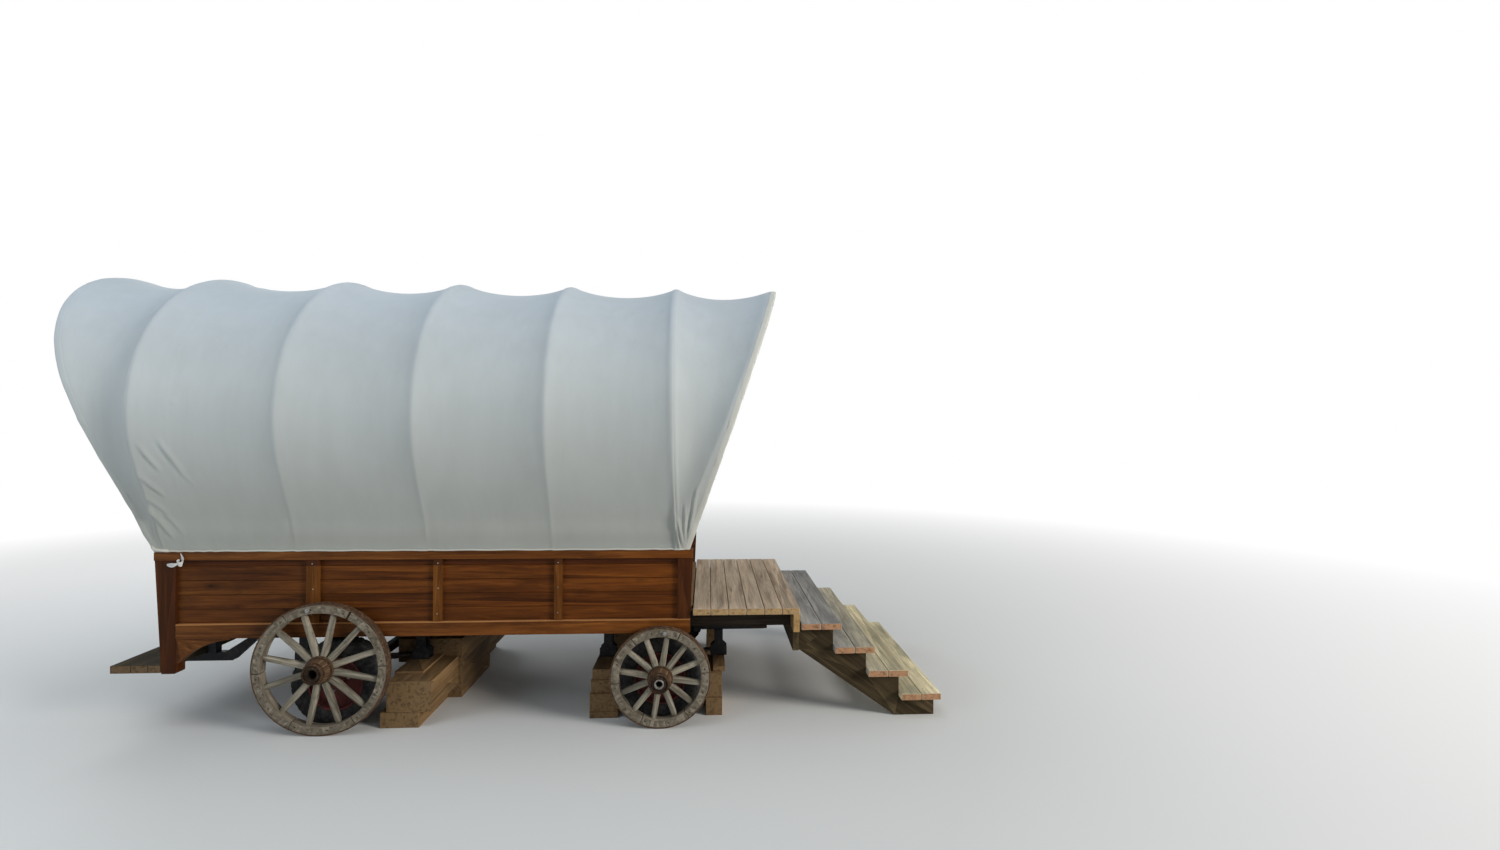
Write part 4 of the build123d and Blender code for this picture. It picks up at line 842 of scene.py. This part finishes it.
# A spoke's form: columns are the share of its length, half its width, half its depth and how square it is
SPOKE_FORM = ((0, 0.0225, 0.0265, 6), (0.05, 0.0225, 0.0262, 6), (0.12, 0.022, 0.025, 5), (0.3, 0.021, 0.0225, 4.5),
              (0.6, 0.0196, 0.02, 4.5), (0.86, 0.0188, 0.0185, 4.5), (0.93, 0.0188, 0.018, 4.5),
              (0.965, 0.0165, 0.0155, 4), (1.0, 0.0165, 0.0155, 4))
for end, (first, stand, nave, face, bore) in WHEELS.items():
    (wheel_x, wheel_z), radius = HUBS[end]
    rim_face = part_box(f"{end}_cart_felloes")[1].y
    start, end_at = nave - 0.006, radius - FELLOE_DEPTH + 0.001
    back, front = -FELLOE_WIDTH / 2 - NAVE_BACK, FELLOE_WIDTH / 2 + stand
    neck, lip = (nave + face) / 2, front - LIP
    profile = [(back, bore), (back, nave - 0.012), (back + 0.004, nave - 0.008), (-0.03, nave - 0.001), (-0.028, nave),
               (0.028, nave), (0.0305, nave - 0.001), (0.0325, nave - 0.006), (0.036, nave - 0.007),
               (0.039, neck + 0.006), (0.044, neck + 0.0035), (0.048, neck + 0.0035)]
    profile += [(0.048 + (lip - 0.048) * share, neck + 0.0035 - (neck - face - 0.001) * share ** 1.4)
                for share in (step / 9 for step in range(1, 9))]
    profile += [(lip + out, face + up) for out, up in ((0, 0.0045), (0.002, 0.001), (0.006, 0.001), (0.008, 0.003))]
    profile += [(front - out, face - up) for out, up in ((0.006, 0.001), (0.001, 0.004), (0, 0.008), (0.011, 0.011))]
    profile += [(front - out, bore + up) for out, up in ((0.014, 0.018), (0.006, 0.014), (0.006, 0.004), (0.01, 0))]
    profile.append((back, bore))
    bush = [(front - out, bore + up) for out, up in ((0.012, 0.005), (0.002, 0.004), (0.001, -0.006), (0.03, -0.008))]
    spokes, naves, bands, bushes, pegs = [], [], [], [], []
    for side in (-1, 1):
        centre = (wheel_x, side * (rim_face - FELLOE_WIDTH / 2), wheel_z)
        for number in range(SPOKES):
            angle = radians(first + number * 360 / SPOKES)
            out, across = Vector((cos(angle), 0, sin(angle))), Vector((-sin(angle), 0, cos(angle)))
            rows = []
            for share, wide, deep, square in SPOKE_FORM:
                reach = start + (end_at - start) * share
                for turn in turns(SPOKE_SIDES):
                    c, d = cos(turn), sin(turn)
                    size = (abs(c) ** square + abs(d) ** square) ** (-1 / square)
                    point = Vector(centre) + out * reach + across * (wide * c * size)
                    point.y += side * deep * d * size
                    rows.append(point)
            spokes.append((rows, grid_faces(len(SPOKE_FORM), SPOKE_SIDES, wrap=True)))
        naves.append(lathe(profile, NAVE_SEGMENTS, centre, side))
        for place, size in ((back + 0.006, nave - 0.008), (0.0425, neck + 0.004), (lip + 0.0045, face + 0.0015)):
            bands.append(lathe([(place + out, size + up) for out, up in BAND], NAVE_SEGMENTS, centre, side))
        bushes.append(lathe(bush, BUSH_SEGMENTS, centre, side))
        rim_front = (wheel_x, side * (rim_face + 0.0002), wheel_z)
        for number in range(SPOKES):
            head = round_axle(rim_front, 0, radius - 0.037, radians(first + 20 + number * 360 / SPOKES))
            pegs.append(lathe(PEG, PEG_SEGMENTS, head, side, cap=True))
    made = piece(f"{end}_cart_spoke_set", *several(spokes), spoke_wood[end], "cart_wood")
    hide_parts(f"{end}_cart_spokes")
    made = piece(f"{end}_cart_nave_set", *several(naves), nave_wood[end], "cart_wood")
    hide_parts(f"{end}_cart_naves")
    piece(f"{end}_nave_bands", *several(bands), band_iron, "cart_iron", smooth=False)
    if end == "front":
        piece(f"{end}_nave_bushes", *several(bushes), bush_steel, "cart_iron")
    piece(f"{end}_felloe_pegs", *several(pegs), dark_peg, "cart_wood")

# ---- Rubber tyres with tread, and wheel nuts on the rims ----
TYRE_BORE, TYRE_SEGMENTS, SHOULDER = 0.1858, 168, 0.1015
NUTS, NUT_CIRCLE, NUT_SEAT = 5, 0.072, 0.0205
for end, (side_name, side) in product(ENDS, SIDES.items()):
    body = f"{end}_{side_name}_wheel"
    low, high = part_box(f"{end}_{side_name}_tyre")
    centre = ((low.x + high.x) / 2, (low.y + high.y) / 2, (low.z + high.z) / 2)
    half, radius = (high.y - low.y) / 2, (high.z - low.z) / 2
    wall = ((0.066, 0), (0.071, 0.004), (0.074, 0.012), (0.0785, 0.03), (0.0815, 0.052), (half - 0.0002, 0.066),
            (0.0818, 0.078), (0.0795, 0.092), (0.077, SHOULDER))
    tread = ((0.0735, 0.012), (0.069, 0.006), (0.064, 0.0028), (0.056, 0.001), (0.05, 0.0004), (0.046, 0.0),
             (0.0455, 0.007), (0.0395, 0.007), (0.039, 0.0), (0.026, 0.0), (0.018, 0.0), (0.0175, 0.007),
             (0.0115, 0.007), (0.011, 0.0), (0.005, 0.0))
    profile = [(out, TYRE_BORE + high) for out, high in wall] + [(out, radius - deep) for out, deep in tread]
    profile += [(-out, size) for out, size in reversed(profile)]
    vertices = []
    for out, size in profile:
        for step, angle in enumerate(turns(TYRE_SEGMENTS)):
            reach = size
            if size > radius - 0.0065 and step % 4 == (0 if abs(out) < 0.03 else 2):
                reach -= 0.006
            if abs(size - (TYRE_BORE + SHOULDER)) < 0.001 and step % 4 < 2:
                reach -= 0.003
            vertices.append(round_axle(centre, out, reach, angle))
    tyre = piece(f"{end}_{side_name}_tread_tyre", vertices, grid_faces(len(profile), TYRE_SEGMENTS, wrap=True),
                 rubber, "tyre", body=body)
    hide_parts(f"{end}_{side_name}_tyre")
    seats = [round_axle(centre, side * NUT_SEAT, NUT_CIRCLE, angle) for angle in turns(NUTS, 0.4)]
    nuts = [lathe([(0.0, 0.0125), (0.011, 0.012), (0.014, 0.009)], 6, seat, side, cap=True) for seat in seats]
    piece(f"{end}_{side_name}_wheel_nuts", *several(nuts), zinc, "bolt_steel", body=body, smooth=False)

# ---- Tongues between the side boards, which keep daylight out ----
tongues = []
BOARD_GAP, BOARD_COUNT, TONGUE_LAP, TONGUE_HALF = 0.0025, 4, 0.0015, 0.003
BOX_FACES = [(0, 1, 3, 2), (4, 6, 7, 5), (0, 4, 5, 1), (2, 3, 7, 6), (0, 2, 6, 4), (1, 5, 7, 3)]
for name in ("right_side_boards", "left_side_boards"):
    low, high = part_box(name)
    board_pitch = (high.z - low.z + BOARD_GAP) / BOARD_COUNT
    middle = (low.y + high.y) / 2
    for number in range(1, BOARD_COUNT + 1):
        top = low.z + number * board_pitch + TONGUE_LAP
        corners = [(x, y, z) for x in (low.x + 0.002, high.x - 0.002)
                   for y in (middle - TONGUE_HALF, middle + TONGUE_HALF)
                   for z in (top - BOARD_GAP - 2 * TONGUE_LAP, top)]
        tongues.append((corners, BOX_FACES))
piece("board_tongues", *several(tongues), side_wood, "stained_boards", smooth=False)

# ---- Screws in the deck planks, treads and battens ----
screws = []
deck_low, deck_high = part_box("deck_planks")
pitch = (deck_high.x - FRONT_X) / 6


def screw(point, normal, radius=0.0048):
    """A screw's head with a hollow in its middle."""
    point, normal = Vector(point), Vector(normal)
    side_way = normal.orthogonal().normalized()
    other = normal.cross(side_way)
    vertices = [point + radius * (cos(a) * side_way + sin(a) * other) for a in turns(10)]
    vertices += [v + normal * 0.0009 - (v - point) * 0.3 for v in vertices]
    vertices.append(point + normal * 0.0002)
    faces = grid_faces(2, 10, wrap=True)
    screws.append((vertices, faces + [(10 + i, 10 + (i + 1) % 10, 20) for i in range(10)]))


for number, y, share in product(range(6), (-0.677, -0.262, 0.262, 0.677), (0.22, 0.78)):
    screw((FRONT_X + (number + share) * pitch + 0.002, y + DICE.uniform(-0.006, 0.006), deck_high.z), (0, 0, 1))
# Treads, from the top one down: the first one's top, the rise, the run, and the second plank's place
TREAD_TOP, TREAD_RISE, TREAD_RUN, TREAD_PLANK = 0.705, 0.174, 0.247, 0.149
string_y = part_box("stair_stringers")[1].y - 0.0225
for number, plank, share, y in product(range(4), (0.0, TREAD_PLANK), (0.035, 0.11), (-string_y, string_y)):
    x = deck_high.x + 0.013 + TREAD_RUN * number + plank + share
    screw((x, y + DICE.uniform(-0.006, 0.006), TREAD_TOP - TREAD_RISE * number), (0, 0, 1))
for station, side, down in product((1.038, 1.879, 2.71), (-1, 1), (0.085, 0.26, 0.44)):
    x = REAR_X + station + DICE.uniform(-0.004, 0.004)
    screw((x, side * HALF_WIDTH, SIDE_TOP - down), (0, side, 0), 0.0042)
piece("screws", *several(screws), zinc, "bolt_steel", smooth=False)

# ---- Floor, light and camera ----
FLOOR_HALF = 60
mesh = bpy.data.meshes.new("floor")
corners = [(x * FLOOR_HALF, y * FLOOR_HALF, 0) for x, y in ((-1, -1), (1, -1), (1, 1), (-1, 1))]
mesh.from_pydata(corners, [], [(0, 1, 2, 3)])
s = Shader("floor")
far = s.node("VectorMath", {0: s.place()}, operation="LENGTH").outputs["Value"]
seen = s.times(s.node("LightPath").outputs["Is Camera Ray"], s.span(far, 3.5, 13))
mesh.materials.append(s.finish(Base_Color=(0.72, 0.72, 0.71), Roughness=0.9))
s.overlay(seen, "Emission", {"Color": (1, 1, 1), "Strength": 1.0})
floor = new_object("floor", mesh)

world = bpy.context.scene.world = bpy.data.worlds.new("studio")
s = Shader(world, "Background", "OutputWorld")
s.finish(Color=(0.88, 0.95, 1.0), Strength=0.28)
rays = s.node("LightPath").outputs
seen = s.math("MAXIMUM", s.math("MAXIMUM", rays["Is Camera Ray"], rays["Is Glossy Ray"]), rays["Is Transmission Ray"])
s.overlay(seen, "Background", {"Color": (1, 1, 1), "Strength": 1.0})


def lamp(name, place, target, size, power, colour):
    light = setting(bpy.data.lights.new(name, "AREA"), shape="DISK", size=size, energy=power, color=colour)
    setting(new_object(name, light), location=place, rotation_mode="QUATERNION",
            rotation_quaternion=(Vector(target) - Vector(place)).to_track_quat("-Z", "Y"))


lamp("key", (17.0, -9.2, 6.5), (0.0, -0.6, 1.5), 6, 2900, (1.0, 0.965, 0.91))
lamp("top", (-2.0, -1.0, 9.5), (-0.3, 0, 1.0), 7, 220, (0.82, 0.92, 1.0))
lamp("side", (-7.5, -6.0, 4.0), (-0.3, -0.5, 1.4), 5, 190, (0.84, 0.92, 1.0))
lamp("back", (-6.0, 6.0, 5.0), (0, 0, 1.2), 5, 180, (0.95, 0.98, 1.0))

# The camera as found from the photograph: degrees to the side, up from straight down, and of roll
YAW, PITCH, ROLL = -3.713, 90.085, 0.451
camera_data = setting(bpy.data.cameras.new("camera"), sensor_width=36, lens=15.61, clip_start=0.05, clip_end=200)
turn = Matrix.Rotation(radians(YAW), 4, "Z") @ Matrix.Rotation(radians(PITCH), 4, "X")
turn = turn @ Matrix.Rotation(radians(ROLL), 4, "Z")
camera = setting(new_object("camera", camera_data), location=(REAR_X + 3.758, -5.538, 2.132),
                 rotation_mode="QUATERNION", rotation_quaternion=turn.to_quaternion())
bpy.context.scene.camera = camera
bpy.context.scene.view_settings.view_transform = "Standard"
